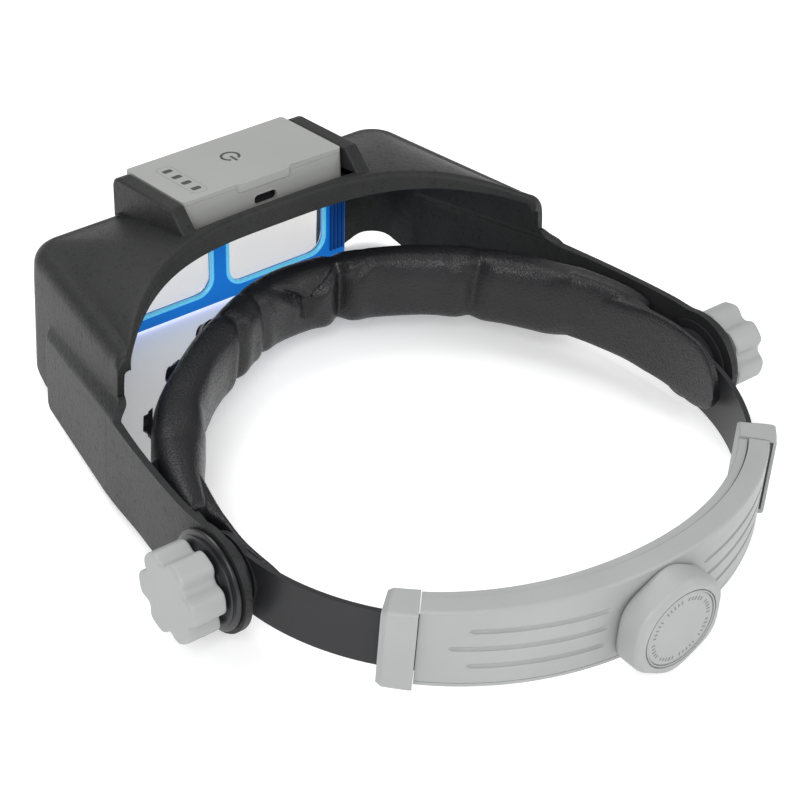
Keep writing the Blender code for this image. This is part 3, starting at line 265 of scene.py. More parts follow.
def finish_piece(obj, material, body, nodes=(), sharp=40):
    """Give a piece its normals, material, body, and the CAD nodes that it stands for."""
    mesh = obj.data
    mesh.shade_smooth()
    mesh.set_sharp_from_angle(angle=math.radians(sharp))
    mod = obj.modifiers.new("even", "WEIGHTED_NORMAL")
    mod.keep_sharp = True
    bake_modifiers(obj)
    obj.data.materials.clear()
    obj.data.materials.append(material)
    if body:
        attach(obj, body)
    if nodes:
        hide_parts(*nodes)


# ---------------------------------------------------------------- materials

def add_inputs(tree, inputs):
    for label, kind, value in inputs:
        socket = tree.interface.new_socket(label, in_out="INPUT", socket_type=kind)
        socket.default_value = value


def new_group(name, inputs, outputs):
    group = bpy.data.node_groups.new(name, "ShaderNodeTree")
    add_inputs(group, inputs)
    for label, kind in outputs:
        group.interface.new_socket(label, in_out="OUTPUT", socket_type=kind)
    return group, group.nodes.new("NodeGroupInput"), group.nodes.new("NodeGroupOutput")


def feed(tree, value, socket):
    """Link an output to a socket, or set a plain number on it."""
    if isinstance(value, bpy.types.NodeSocket):
        tree.links.new(value, socket)
    else:
        socket.default_value = value


def math_node(tree, operation, *values):
    node = tree.nodes.new("ShaderNodeMath")
    node.operation = operation
    for i, value in enumerate(values):
        feed(tree, value, node.inputs[i])
    return node.outputs[0]


def noise_node(tree, vector, scale, detail=2.0, roughness=0.5):
    node = tree.nodes.new("ShaderNodeTexNoise")
    node.inputs["Detail"].default_value = detail
    node.inputs["Roughness"].default_value = roughness
    tree.links.new(vector, node.inputs["Vector"])
    feed(tree, scale, node.inputs["Scale"])
    return node.outputs["Fac"]


def build_moulded_grain():
    """Fine spark-etched grain of moulded plastic, with a slow drift of tone."""
    group, start, end = new_group(
        "moulded_grain",
        [("Vector", "NodeSocketVector", (0, 0, 0)), ("Grain Scale", "NodeSocketFloat", 1500.0),
         ("Drift Scale", "NodeSocketFloat", 25.0)],
        [("Height", "NodeSocketFloat"), ("Drift", "NodeSocketFloat")])
    fine = noise_node(group, start.outputs["Vector"], start.outputs["Grain Scale"], 3.0, 0.6)
    coarse_scale = math_node(group, "MULTIPLY", start.outputs["Grain Scale"], 0.35)
    coarse = noise_node(group, start.outputs["Vector"], coarse_scale, 1.0)
    height = math_node(group, "ADD", fine, math_node(group, "MULTIPLY", coarse, 0.5))
    group.links.new(height, end.inputs["Height"])
    drift = noise_node(group, start.outputs["Vector"], start.outputs["Drift Scale"], 4.0)
    group.links.new(drift, end.inputs["Drift"])
    return group


def build_hide_grain():
    """Pebbles and fine wrinkles of leatherette."""
    group, start, end = new_group(
        "hide_grain",
        [("Vector", "NodeSocketVector", (0, 0, 0)), ("Pebble Scale", "NodeSocketFloat", 1000.0)],
        [("Height", "NodeSocketFloat"), ("Worn", "NodeSocketFloat")])
    bend = group.nodes.new("ShaderNodeTexNoise")
    bend.inputs["Scale"].default_value = 400.0
    group.links.new(start.outputs["Vector"], bend.inputs["Vector"])
    shift = group.nodes.new("ShaderNodeVectorMath")
    shift.operation = "MULTIPLY_ADD"
    shift.inputs[1].default_value = (0.0012, 0.0012, 0.0012)
    group.links.new(bend.outputs["Color"], shift.inputs[0])
    group.links.new(start.outputs["Vector"], shift.inputs[2])
    cells = group.nodes.new("ShaderNodeTexVoronoi")
    cells.feature = "SMOOTH_F1"
    cells.inputs["Smoothness"].default_value = 0.35
    group.links.new(shift.outputs[0], cells.inputs["Vector"])
    group.links.new(start.outputs["Pebble Scale"], cells.inputs["Scale"])
    pebble = math_node(group, "SUBTRACT", 1.0, cells.outputs["Distance"])
    fine = noise_node(group, start.outputs["Vector"], 2600.0, 2.0)
    height = math_node(group, "ADD", pebble, math_node(group, "MULTIPLY", fine, 0.35))
    group.links.new(height, end.inputs["Height"])
    worn = noise_node(group, start.outputs["Vector"], 35.0, 3.0)
    group.links.new(worn, end.inputs["Worn"])
    return group


def colour_between(tree, factor, low, high):
    node = tree.nodes.new("ShaderNodeMix")
    node.data_type = "RGBA"
    node.inputs[6].default_value = (*low, 1)
    node.inputs[7].default_value = (*high, 1)
    tree.links.new(factor, node.inputs[0])
    return node.outputs[2]


def value_between(tree, factor, low, high):
    """Spread the middle of a noise over a range of values."""
    node = tree.nodes.new("ShaderNodeMapRange")
    node.inputs["From Min"].default_value = 0.3
    node.inputs["From Max"].default_value = 0.7
    node.inputs["To Min"].default_value = low
    node.inputs["To Max"].default_value = high
    tree.links.new(factor, node.inputs["Value"])
    return node.outputs["Result"]


def start_material(name):
    mat = bpy.data.materials.new(name)
    mat.use_nodes = True
    tree = mat.node_tree
    place = tree.nodes.new("ShaderNodeTexCoord").outputs["Object"]
    return mat, tree, tree.nodes["Principled BSDF"], place


def grain_node(tree, group, place, label, scale):
    node = tree.nodes.new("ShaderNodeGroup")
    node.node_tree = group
    node.inputs[label].default_value = scale
    tree.links.new(place, node.inputs["Vector"])
    return node


def bump(tree, shader, height, strength, distance):
    node = tree.nodes.new("ShaderNodeBump")
    node.inputs["Strength"].default_value = strength
    node.inputs["Distance"].default_value = distance
    tree.links.new(height, node.inputs["Height"])
    tree.links.new(node.outputs["Normal"], shader.inputs["Normal"])


def grained(name, low, high, rough, grain=1500.0, depth=0.04 * MM, strength=0.5, speckle=0.0, **sockets):
    """Moulded plastic or metal: two near tones, two roughness values and a grain."""
    mat, tree, shader, place = start_material(name)
    node = grain_node(tree, MOULDED_GRAIN, place, "Grain Scale", grain)
    tone = math_node(tree, "ADD",
                     value_between(tree, node.outputs["Drift"], 0.0, 1 - speckle),
                     value_between(tree, node.outputs["Height"], -speckle, speckle * 0.6))
    tree.links.new(colour_between(tree, tone, low, high), shader.inputs["Base Color"])
    tree.links.new(value_between(tree, node.outputs["Height"], rough[0], rough[1]),
                   shader.inputs["Roughness"])
    bump(tree, shader, node.outputs["Height"], strength, depth)
    for label, value in sockets.items():
        shader.inputs[label.replace("_", " ")].default_value = value
    return mat


def leatherette(name):
    """Soft black sheet: pebbled, with worn patches that shine a little more."""
    mat, tree, shader, place = start_material(name)
    node = grain_node(tree, HIDE_GRAIN, place, "Pebble Scale", 1350.0)
    tone = value_between(tree, node.outputs["Worn"], 0.0, 1.0)
    tree.links.new(colour_between(tree, tone, (0.0065, 0.0065, 0.0075), (0.0110, 0.0110, 0.0125)),
                   shader.inputs["Base Color"])
    tree.links.new(value_between(tree, node.outputs["Height"], 0.56, 0.34), shader.inputs["Roughness"])
    bump(tree, shader, node.outputs["Height"], 0.8, 0.20 * MM)
    shader.inputs["Specular IOR Level"].default_value = 0.34
    return mat


def clear_plastic(name, tint, roughness):
    """Clear moulding with a slightly uneven polish."""
    mat, tree, shader, place = start_material(name)
    node = grain_node(tree, MOULDED_GRAIN, place, "Grain Scale", 300.0)
    tree.links.new(value_between(tree, node.outputs["Drift"], roughness, roughness + 0.03),
                   shader.inputs["Roughness"])
    shader.inputs["Base Color"].default_value = (*tint, 1)
    shader.inputs["Transmission Weight"].default_value = 1.0
    shader.inputs["IOR"].default_value = 1.49
    return mat


MOULDED_GRAIN = build_moulded_grain()
HIDE_GRAIN = build_hide_grain()
HOOD_BLACK = grained("hood_black", (0.0070, 0.0075, 0.0075), (0.0260, 0.0265, 0.0260), (0.66, 0.44), 1250.0,
                     0.22 * MM, 0.9, 0.6, Specular_IOR_Level=0.22)
STRAP_BLACK = grained("strap_black", (0.014, 0.014, 0.0155), (0.019, 0.019, 0.021), (0.50, 0.42), 2200.0,
                      0.02 * MM, 0.3, Specular_IOR_Level=0.28)
WASHER_BLACK = grained("washer_black", (0.006, 0.006, 0.0075), (0.010, 0.010, 0.012), (0.26, 0.32), 900.0,
                       0.01 * MM, 0.2)
BODY_GREY = grained("body_grey", (0.285, 0.295, 0.290), (0.315, 0.325, 0.320), (0.42, 0.50), 2400.0,
                    0.025 * MM, 0.35)
LAMP_GREY = grained("lamp_grey", (0.285, 0.290, 0.278), (0.310, 0.315, 0.303), (0.40, 0.47), 2600.0,
                    0.02 * MM, 0.3)
MARK_GREY = grained("mark_grey", (0.030, 0.032, 0.034), (0.045, 0.047, 0.050), (0.45, 0.5), 2000.0,
                    0.01 * MM, 0.2)
FAINT_GREY = grained("faint_grey", (0.17, 0.175, 0.18), (0.20, 0.205, 0.21), (0.45, 0.5), 2000.0,
                     0.01 * MM, 0.2)
PRINT_GREY = grained("print_grey", (0.13, 0.135, 0.14), (0.16, 0.165, 0.17), (0.45, 0.5), 2000.0,
                     0.01 * MM, 0.2)
# Blue plate moulding; its weak blue emission is a painted glow, as if light came through it from behind, and
# no lamp.
PLATE_BLUE_PAINTED_GLOW = grained("plate_blue_painted_glow", (0.001, 0.19, 0.72), (0.001, 0.22, 0.80), (0.30, 0.38), 700.0,
                     0.02 * MM, 0.25, Emission_Color=(0.0, 0.16, 0.60, 1), Emission_Strength=0.18,
                     Specular_IOR_Level=0.2)
# The plate's blue made far darker for the end ribs: painted shade, with none of the plate's painted glow.
RIB_BLUE_PAINTED_SHADE = grained("rib_blue_painted_shade", (0.001, 0.05, 0.26), (0.002, 0.07, 0.32), (0.35, 0.45), 700.0, 0.02 * MM, 0.25,
                   Specular_IOR_Level=0.2)
# Cyan of the window rims; their emission is a painted glow, and no lamp.
RIM_CYAN_PAINTED_GLOW = grained("rim_cyan_painted_glow", (0.13, 0.58, 0.86), (0.17, 0.64, 0.90), (0.22, 0.28), 700.0, 0.01 * MM, 0.2,
                   Emission_Color=(0.10, 0.55, 0.85, 1), Emission_Strength=0.35)
PLATED_STEEL = grained("plated_steel", (0.50, 0.50, 0.50), (0.60, 0.60, 0.60), (0.24, 0.36), 900.0,
                       0.01 * MM, 0.3, Metallic=1.0)
TURNED_BRASS = grained("turned_brass", (0.56, 0.41, 0.16), (0.64, 0.48, 0.21), (0.28, 0.40), 900.0,
                       0.01 * MM, 0.3, Metallic=1.0)
BOARD_GREEN = grained("board_green", (0.02, 0.13, 0.05), (0.03, 0.17, 0.07), (0.35, 0.45), 1200.0,
                      0.01 * MM, 0.2)
CELL_FOIL = grained("cell_foil", (0.46, 0.48, 0.51), (0.56, 0.58, 0.60), (0.25, 0.40), 500.0,
                    0.04 * MM, 0.4, Metallic=1.0)
LED_RESIN = grained("led_resin", (0.85, 0.80, 0.55), (0.95, 0.93, 0.80), (0.15, 0.20), 400.0,
                    0.01 * MM, 0.1)
LEATHERETTE = leatherette("pad_leatherette")
LENS_CLEAR = clear_plastic("lens_clear", (0.74, 0.735, 0.73), 0.03)
WINDOW_CLEAR = clear_plastic("window_clear", (0.97, 0.98, 0.98), 0.06)


# ---------------------------------------------------------------- repeated parts

def new_tree(name, sockets):
    tree = bpy.data.node_groups.new(name, "GeometryNodeTree")
    tree.interface.new_socket("Geometry", in_out="INPUT", socket_type="NodeSocketGeometry")
    add_inputs(tree, sockets)
    tree.interface.new_socket("Material", in_out="INPUT", socket_type="NodeSocketMaterial")
    tree.interface.new_socket("Geometry", in_out="OUTPUT", socket_type="NodeSocketGeometry")
    return tree, tree.nodes.new("NodeGroupInput"), tree.nodes.new("NodeGroupOutput")


def end_tree(tree, start, end, geometry):
    real = tree.nodes.new("GeometryNodeRealizeInstances")
    paint = tree.nodes.new("GeometryNodeSetMaterial")
    tree.links.new(geometry, real.inputs[0])
    tree.links.new(real.outputs[0], paint.inputs["Geometry"])
    tree.links.new(start.outputs["Material"], paint.inputs["Material"])
    tree.links.new(paint.outputs[0], end.inputs["Geometry"])
    return tree


def outward_turn(tree, axis, pivot="AUTO"):
    """Rotation that points an axis along each point's outward vector."""
    facing = tree.nodes.new("GeometryNodeInputNamedAttribute")
    facing.data_type = "FLOAT_VECTOR"
    facing.inputs["Name"].default_value = "outward"
    turn = tree.nodes.new("FunctionNodeAlignRotationToVector")
    turn.axis = axis
    turn.pivot_axis = pivot
    tree.links.new(facing.outputs["Attribute"], turn.inputs["Vector"])
    return turn.outputs[0]


def on_points(tree, points, instance, **sockets):
    place = tree.nodes.new("GeometryNodeInstanceOnPoints")
    tree.links.new(points, place.inputs["Points"])
    tree.links.new(instance, place.inputs["Instance"])
    for label, source in sockets.items():
        tree.links.new(source, place.inputs[label])
    return place.outputs[0]


def build_studs_tree():
    """Press studs: a flange and a crowned cap on each point, facing the point's outward vector."""
    tree, start, end = new_tree("press_studs", [
        ("Flange Radius", "NodeSocketFloat", 5.6 * MM), ("Cap Radius", "NodeSocketFloat", 4.2 * MM),
        ("Height", "NodeSocketFloat", 3.0 * MM)])
    flange = tree.nodes.new("GeometryNodeMeshCone")
    cap = tree.nodes.new("GeometryNodeMeshCone")
    for node, radius, taper, share in ((flange, "Flange Radius", 0.97, 0.5), (cap, "Cap Radius", 0.62, 1.0)):
        node.inputs["Vertices"].default_value = 32
        tree.links.new(start.outputs[radius], node.inputs["Radius Bottom"])
        top_radius = math_node(tree, "MULTIPLY", start.outputs["Cap Radius"], taper)
        tree.links.new(top_radius, node.inputs["Radius Top"])
        depth = math_node(tree, "MULTIPLY", start.outputs["Height"], share)
        tree.links.new(depth, node.inputs["Depth"])
    stud = tree.nodes.new("GeometryNodeJoinGeometry")
    tree.links.new(flange.outputs["Mesh"], stud.inputs[0])
    tree.links.new(cap.outputs["Mesh"], stud.inputs[0])
    studs = on_points(tree, start.outputs["Geometry"], stud.outputs[0], Rotation=outward_turn(tree, "Z"))
    return end_tree(tree, start, end, studs)


def build_marks_tree():
    """Small bars on each point, turned to face away from the axis, with seeded lengths."""
    tree, start, end = new_tree("ring_marks", [
        ("Width", "NodeSocketFloat", 0.35 * MM), ("Length", "NodeSocketFloat", 1.3 * MM),
        ("Depth", "NodeSocketFloat", 0.12 * MM), ("Seed", "NodeSocketInt", 4)])
    size = tree.nodes.new("ShaderNodeCombineXYZ")
    for label, axis in (("Width", "X"), ("Length", "Y"), ("Depth", "Z")):
        tree.links.new(start.outputs[label], size.inputs[axis])
    bar = tree.nodes.new("GeometryNodeMeshCube")
    tree.links.new(size.outputs[0], bar.inputs["Size"])
    length = tree.nodes.new("FunctionNodeRandomValue")
    length.data_type = "FLOAT"
    length.inputs[2].default_value = 0.72
    length.inputs[3].default_value = 1.0
    tree.links.new(start.outputs["Seed"], length.inputs["Seed"])
    stretch = tree.nodes.new("ShaderNodeCombineXYZ")
    stretch.inputs["X"].default_value = 1.0
    stretch.inputs["Z"].default_value = 1.0
    tree.links.new(length.outputs[1], stretch.inputs["Y"])
    bars = on_points(tree, start.outputs["Geometry"], bar.outputs["Mesh"],
                     Rotation=outward_turn(tree, "Y", "Z"), Scale=stretch.outputs[0])
    return end_tree(tree, start, end, bars)


def build_ribs_tree():
    """Upright ribs in a row from a start point."""
    tree, start, end = new_tree("rib_row", [
        ("Count", "NodeSocketInt", 4), ("Pitch", "NodeSocketVector", (2 * MM, 0, 0)),
        ("First", "NodeSocketVector", (0, 0, 0)), ("Rib Size", "NodeSocketVector", (MM, MM, 30 * MM))])
    line = tree.nodes.new("GeometryNodeMeshLine")
    line.mode = "OFFSET"
    tree.links.new(start.outputs["Count"], line.inputs["Count"])
    tree.links.new(start.outputs["First"], line.inputs["Start Location"])
    tree.links.new(start.outputs["Pitch"], line.inputs["Offset"])
    rib = tree.nodes.new("GeometryNodeMeshCube")
    tree.links.new(start.outputs["Rib Size"], rib.inputs["Size"])
    return end_tree(tree, start, end, on_points(tree, line.outputs[0], rib.outputs["Mesh"]))


def grow(name, tree, points, outwards, material, values, place=None):
    """Run a tree on points that carry an outward vector, and keep the result as a mesh."""
    mesh = bpy.data.meshes.new(name)
    mesh.from_pydata([tuple(p) for p in points], [], [])
    facing = mesh.attributes.new("outward", "FLOAT_VECTOR", "POINT")
    for i, vector in enumerate(outwards):
        facing.data[i].vector = vector
    obj = scene_object(name, mesh)
    mod = obj.modifiers.new("grow", "NODES")
    mod.node_group = tree
    for item in tree.interface.items_tree:
        if item.in_out != "INPUT":
            continue
        if item.name == "Material":
            mod[item.identifier] = material
        elif item.name in values:
            mod[item.identifier] = values[item.name]
    bake_modifiers(obj)
    if place is not None:
        obj.data.transform(place)
    return obj


STUDS = build_studs_tree()
MARKS = build_marks_tree()
RIBS = build_ribs_tree()


# ---------------------------------------------------------------- headband

def ellipse_point(degrees, offset, z, half_width, reach):
    a = math.radians(degrees)
    normal = Vector((math.cos(a) / half_width, math.sin(a) / reach, 0)).normalized()
    return Vector((half_width * math.cos(a), reach * math.sin(a), z)) + normal * offset


def ring_point(degrees, offset, z, half_width=RING_HALF_W):
    """0 is the left pivot, +90 the back and -90 the front, in the band's frame."""
    reach = RING_REAR if math.sin(math.radians(degrees)) > 0 else RING_FRONT
    return ellipse_point(degrees, offset, z, half_width, reach)


def rear_point(degrees, offset, z):
    """A point by the side straps, which run inside the brow strap's ears."""
    return ring_point(degrees, offset, z, SIDE_STRAP_HALF_W)


def ring_normal(degrees, half_width=RING_HALF_W):
    return ring_point(degrees, 1, 0, half_width) - ring_point(degrees, 0, 0, half_width)


def band_give(degrees):
    """How far the flexible band sits inwards at its front left."""
    return -5.2 * MM * math.exp(-abs((degrees + 61) / 20) ** 3)


def give_point(degrees, offset, z):
    return ring_point(degrees, offset + band_give(degrees), z)


def make_brow_strap():
    loops = []
    for a in steps_between(-180, 0, 120):
        loops.append([give_point(a, o, z) for o, z in
                      ((-MM, -STRAP_HALF_H), (MM, -STRAP_HALF_H), (MM, STRAP_HALF_H), (-MM, STRAP_HALF_H))])
    strap = mesh_object("brow_strap", loft(loops))
    for side, _ in SIDES:
        ear = cylinder(EAR_R, -1.1 * MM, 1.1 * MM, 48)
        add(strap, ear, Matrix.Translation((side * RING_HALF_W, 0, 0)) @ Matrix.Rotation(math.pi / 2, 4, "Y"))
    round_edges(strap, 0.4 * MM, 2)
    strap.data.transform(BAND)
    finish_piece(strap, STRAP_BLACK, "headband", ["front_strap"])


CREASES = (
    # degrees, width in degrees, depth, slant in degrees per unit of height
    (-103.2, 1.7, 4.2 * MM, 0.5),
    (-133.2, 1.7, 2.2 * MM, -0.6),
    (-80.2, 1.1, 1.3 * MM, 1.2),
    (-69.0, 1.6, 2.4 * MM, -0.8),
    (-158.0, 3.0, 0.6 * MM, 1.0),
    (-40.0, 4.0, 0.7 * MM, -1.0),
)
FOLDS = (
    # degrees, height, width in degrees, height spread, depth, slant
    (-90.5, 0.5, 1.5, 0.40, 3.0 * MM, 12.0),
    (-97.0, 0.5, 1.5, 0.40, 3.0 * MM, -12.0),
    (-108.0, 0.85, 1.4, 0.3, 1.3 * MM, -8.0),
    (-129.0, 0.85, 1.4, 0.3, 0.9 * MM, 6.0),
)
PAD_FIRST, PAD_LAST = -169.0, -10.0    # degrees
TAB_START, TAB_END = -26, 13.6         # degrees
PAD_INNER, PAD_INNER_AT_ENDS, PAD_OUTER = 8.4 * MM, 5.6 * MM, 3.5 * MM
CHANNEL_HALF_W, CHANNEL_HALF_H = 1.3 * MM, 11.05 * MM
SECTION_POINTS = 56
STUD_ANGLES = (24, 38, 53, 68)         # degrees in front of each pivot
STUD_RISE = 5.0 * MM


def pad_dent(degrees, height):
    """Depth of the creases at an angle and at a height from -1 to 1."""
    dent = 0.0
    for centre, width, depth, slant in CREASES:
        away = (degrees - centre - slant * height) / width
        dent += depth * math.exp(-abs(away) ** 1.6)
        dent -= 0.22 * depth * math.exp(-((abs(away) - 2.4) / 1.3) ** 2)
    for centre, level, width, spread, depth, slant in FOLDS:
        away = (degrees - centre - slant * (height - level)) / width
        near = math.exp(-((height - level) / spread) ** 2)
        dent += depth * near * math.exp(-away * away)
        dent -= 0.3 * depth * near * math.exp(-((abs(away) - 2.0) / 1.0) ** 2)
    return dent


def pad_lift(degrees):
    """The pad rides up the strap at its right end and down at its left end."""
    return 5.5 * MM * smooth_step((-148 - degrees) / 24) - 3.5 * MM * smooth_step((degrees + 34) / 24)


def superellipse(count, power_u, power_v):
    """Points of a rounded box that reaches from -1 to 1 both ways."""
    points = []
    for i in range(count):
        t = 2 * math.pi * (i + 0.5) / count
        u = math.copysign(abs(math.cos(t)) ** power_u, math.cos(t))
        v = math.copysign(abs(math.sin(t)) ** power_v, math.sin(t))
        points.append((u, v))
    return points


def pad_section(degrees):
    """Closed section of the pad: a firm outer face, rolled edges and a full inner face."""
    to_side = abs(math.cos(math.radians(degrees))) ** 2
    end = min(degrees - PAD_FIRST, PAD_LAST - degrees)
    taper = smooth_step(end / 16)
    left = 4.0 * MM * math.exp(-((degrees + 34) / 12) ** 2)
    inner = -CHANNEL_HALF_W - mix(PAD_INNER_AT_ENDS, PAD_INNER, taper) - left
    top = mix(13.4 * MM, 16.0 * MM, to_side) - 1.0 * MM * (1 - taper)
    bottom = mix(-13.2 * MM, -12.0 * MM, to_side) + 1.0 * MM * (1 - taper)
    lift = min(max(pad_lift(degrees), -0.6 * MM), 0.8 * MM)
    points = []
    for u, v in superellipse(SECTION_POINTS, 0.62, 0.5):
        inwards = max(0.0, -u)
        dent = pad_dent(degrees, v)
        wave = noise.noise(Vector((degrees * 0.10, v * 1.1, u))) * 0.5 * MM
        offset = mix(inner, PAD_OUTER, (u + 1) / 2) + inwards * (dent - 0.7 * MM * (1 - v * v) + wave)
        top_dip = 0.30 * max(0.0, pad_dent(degrees, 1.0)) * max(0.0, v) ** 3
        bottom_dip = 0.25 * max(0.0, pad_dent(degrees, -1.0)) * max(0.0, -v) ** 3
        roll = lift * (1 + 3.2 * max(0.0, -u)) * smooth_step(abs(v) * 1.4)
        z = mix(bottom, top, (v + 1) / 2) - top_dip + bottom_dip + roll
        points.append(give_point(degrees, min(offset, PAD_OUTER), z + 0.4 * wave * abs(v)))
    near_end = max(0.0, 1 - end / 6)
    closing = 0.85 * (1 - math.sqrt(1 - near_end ** 2))
    return [a.lerp(b, closing) for a, b in zip(points, channel_section(degrees, 0.25 * MM))]


def channel_section(degrees, margin=0.0):
    """Sleeve inside the pad that the strap runs through."""
    return [give_point(degrees, (CHANNEL_HALF_W + margin) * u, (CHANNEL_HALF_H + margin) * v)
            for u, v in superellipse(SECTION_POINTS, 0.12, 0.12)]


def make_pad():
    angles = steps_between(PAD_FIRST, PAD_LAST, 420)
    pad = mesh_object("pad_cover", sleeve([pad_section(a) for a in angles],
                                          [channel_section(a) for a in angles]))
    add(pad, pad_tab(1, 6.5 * MM, -10.0 * MM))
    add(pad, pad_tab(-1, 18.5 * MM, -7.0 * MM))
    pad.data.transform(BAND)
    finish_piece(pad, LEATHERETTE, "headband", ["sweat_pad"], sharp=70)


def pad_tab(side, top_at_end, bottom_at_end):
    """Sewn end of the pad: it thins out over the pivot bolt's head and has a rounded end."""
    loops = []
    for a in steps_between(TAB_START, TAB_END, 72):
        share = max(0.0, (a - TAB_END) / 9 + 1)
        roll = 1 - math.sqrt(max(0.0, 1 - (share * 0.998) ** 2))
        drift = smooth_step((a - TAB_START) / 26)
        top = mix(13.4 * MM, top_at_end, drift)
        bottom = mix(-9.6 * MM, bottom_at_end, drift)
        middle = mix(bottom, top, 0.42)
        top, bottom = mix(top, middle, roll), mix(bottom, middle, roll)
        inner = mix(-8.6 * MM, -9.7 * MM, smooth_step((a + 24) / 12))
        outer = mix(-1.6 * MM, -6.9 * MM, smooth_step((a + 14) / 8))
        loop = [ellipse_point(a, mix(inner, outer, (u + 1) / 2), mix(bottom, top, (v + 1) / 2),
                              RING_HALF_W, RING_FRONT) for u, v in superellipse(32, 0.7, 0.32)]
        loops.append(mirrored(loop, side))
    return loft(loops)


def make_studs():
    points, outwards, nodes = [], [], []
    for side, label in SIDES:
        for number, ahead in enumerate(STUD_ANGLES, 1):
            angle = -ahead if side > 0 else ahead - 180
            points.append(give_point(angle, PAD_OUTER + 0.1 * MM, STUD_RISE))
            outwards.append(ring_normal(angle))
            nodes.append(f"snap_{label}_{number}")
    studs = grow("press_studs", STUDS, points, outwards, WASHER_BLACK, {}, BAND)
    finish_piece(studs, WASHER_BLACK, "headband", nodes)


def make_side_straps():
    """The straps run from the pivots through the collars into the rear housing."""
    for side, label in SIDES:
        loops = []
        for a in steps_between(0, 60, 60):
            loop = [rear_point(a, o * MM, z * STRAP_HALF_H)
                    for o, z in ((-0.9, -1), (0.9, -1), (0.9, 1), (-0.9, 1))]
            loops.append(mirrored(loop, side))
        strap = mesh_object(f"side_band_{label}", loft(loops))
        ear = cylinder(EAR_R, -1.0 * MM, 0.85 * MM, 48)
        add(strap, ear, Matrix.Translation((side * SIDE_STRAP_HALF_W, 0, 0))
            @ Matrix.Rotation(side * math.pi / 2, 4, "Y"))
        round_edges(strap, 0.35 * MM, 2)
        strap.data.transform(BAND)
        finish_piece(strap, STRAP_BLACK, None, [f"side_strap_{label}"])
        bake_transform(strap)


# ---------------------------------------------------------------- pivots

KNOB_R, KNOB_X, KNOB_TURN = 15.2 * MM, 109.7 * MM, math.radians(12)
FLUTE_DEPTH = 3.0 * MM
WASHER_X = 105.4 * MM


def star_outline(radius):
    """Six broad lobes with scooped flutes between them."""
    points = []
    for i in range(192):
        a = 2 * math.pi * i / 192
        away = abs(((math.degrees(a) + 30) % 60) - 30)
        scoop = math.exp(-(away / 12.5) ** 2.8)
        points.append((a, radius - FLUTE_DEPTH * scoop))
    return points


def make_clamp_knob(side, label):
    levels = [(-0.6, 0.0), (-0.15, 0.4), (0.0, 0.9), (0.0, 11.2), (-0.12, 11.7), (-0.45, 12.2),
              (-1.0, 12.5), (-1.6, 12.6)]
    loops = []
    for inset, height in levels:
        loop = []
        for a, r in star_outline(KNOB_R):
            r = max(r + inset * MM, 2 * MM)
            loop.append((r * math.cos(a), r * math.sin(a), height * MM))
        loops.append(loop)
    place = (BAND @ Matrix.Translation((side * KNOB_X, 0, 0))
             @ Matrix.Rotation(side * math.pi / 2, 4, "Y") @ Matrix.Rotation(KNOB_TURN, 4, "Z"))
    knob = mesh_object(f"clamp_star_{label}", loft(loops))
    cut(knob, cylinder(3.3 * MM, -MM, 9.6 * MM, 32))
    hex_pocket = cylinder(6.1 * MM, -MM, 5.3 * MM, 6)
    cut(knob, hex_pocket)
    knob.data.transform(place)
    finish_piece(knob, BODY_GREY, f"clamp_knob_{label}", [f"pivot_knob_{label}"], 35)


def make_washer(side, label):
    profile = [(3.3, 0), (16.6, 0), (17.0, 0.3), (17.0, 1.0), (16.6, 1.35), (15.6, 1.5), (15.35, 1.8),
               (15.6, 2.1), (15.6, 2.6), (15.1, 3.0), (13.4, 3.2), (12.6, 3.6), (11.9, 4.0), (3.3, 4.0)]
    bm = turned([(r * MM, z * MM) for r, z in profile], 96)
    place = BAND @ Matrix.Translation((side * WASHER_X, 0, 0)) @ Matrix.Rotation(side * math.pi / 2, 4, "Y")
    washer = mesh_object(f"friction_washer_{label}", bm, place)
    finish_piece(washer, WASHER_BLACK, "visor", [f"outer_washer_{label}"], 50)


# ---------------------------------------------------------------- rear housing

COLLAR_START, COLLAR_END = 36.5, 43.4  # degrees behind the pivot
SHELL_BOTTOM = -13.1 * MM
SHELL_WALL = 1.9 * MM
SHAFT_HOLE_R = 3.1 * MM
DIAL_R = 18.1 * MM
TICK_R = 11.4 * MM


def housing_top(degrees):
    across = abs(math.cos(math.radians(degrees))) / math.cos(math.radians(COLLAR_START))
    return mix(20.8 * MM, 16.1 * MM, across ** 1.8)


def housing_section(degrees, inner, outer, low, drop, radius, rounded_inner=False):
    """Section with rounded outer edges, as (offset, height) corners turned to points."""
    top = housing_top(degrees) - drop
    outline = []
    for cx, cz, first in ((outer - radius, low + radius, -90), (outer - radius, top - radius, 0)):
        for i in range(6):
            a = math.radians(first + 90 * i / 5)
            outline.append((cx + radius * math.cos(a), cz + radius * math.sin(a)))
    small = min(radius, 0.5 * MM) if rounded_inner else 0.0
    outline += [(inner + small, top), (inner, top - small), (inner, low + small), (inner + small, low)]
    return [rear_point(degrees, o, z) for o, z in outline]


def groove_loops(first, last, z, side):
    """Half-round channel with tapered ends."""
    loops = []
    for a in steps_between(first, last, 36):
        fade = min(a - first, last - a) / 1.2
        size = math.sqrt(min(1.0, max(0.02, 1 - (1 - min(1.0, fade)) ** 2)))
        loop = []
        for i in range(12):
            t = 2 * math.pi * i / 12
            loop.append(rear_point(a, 5.3 * MM + 1.15 * MM * size * math.cos(t),
                                   z + 1.0 * MM * size * math.sin(t)))
        loops.append(mirrored(loop, side))
    return loft(loops)


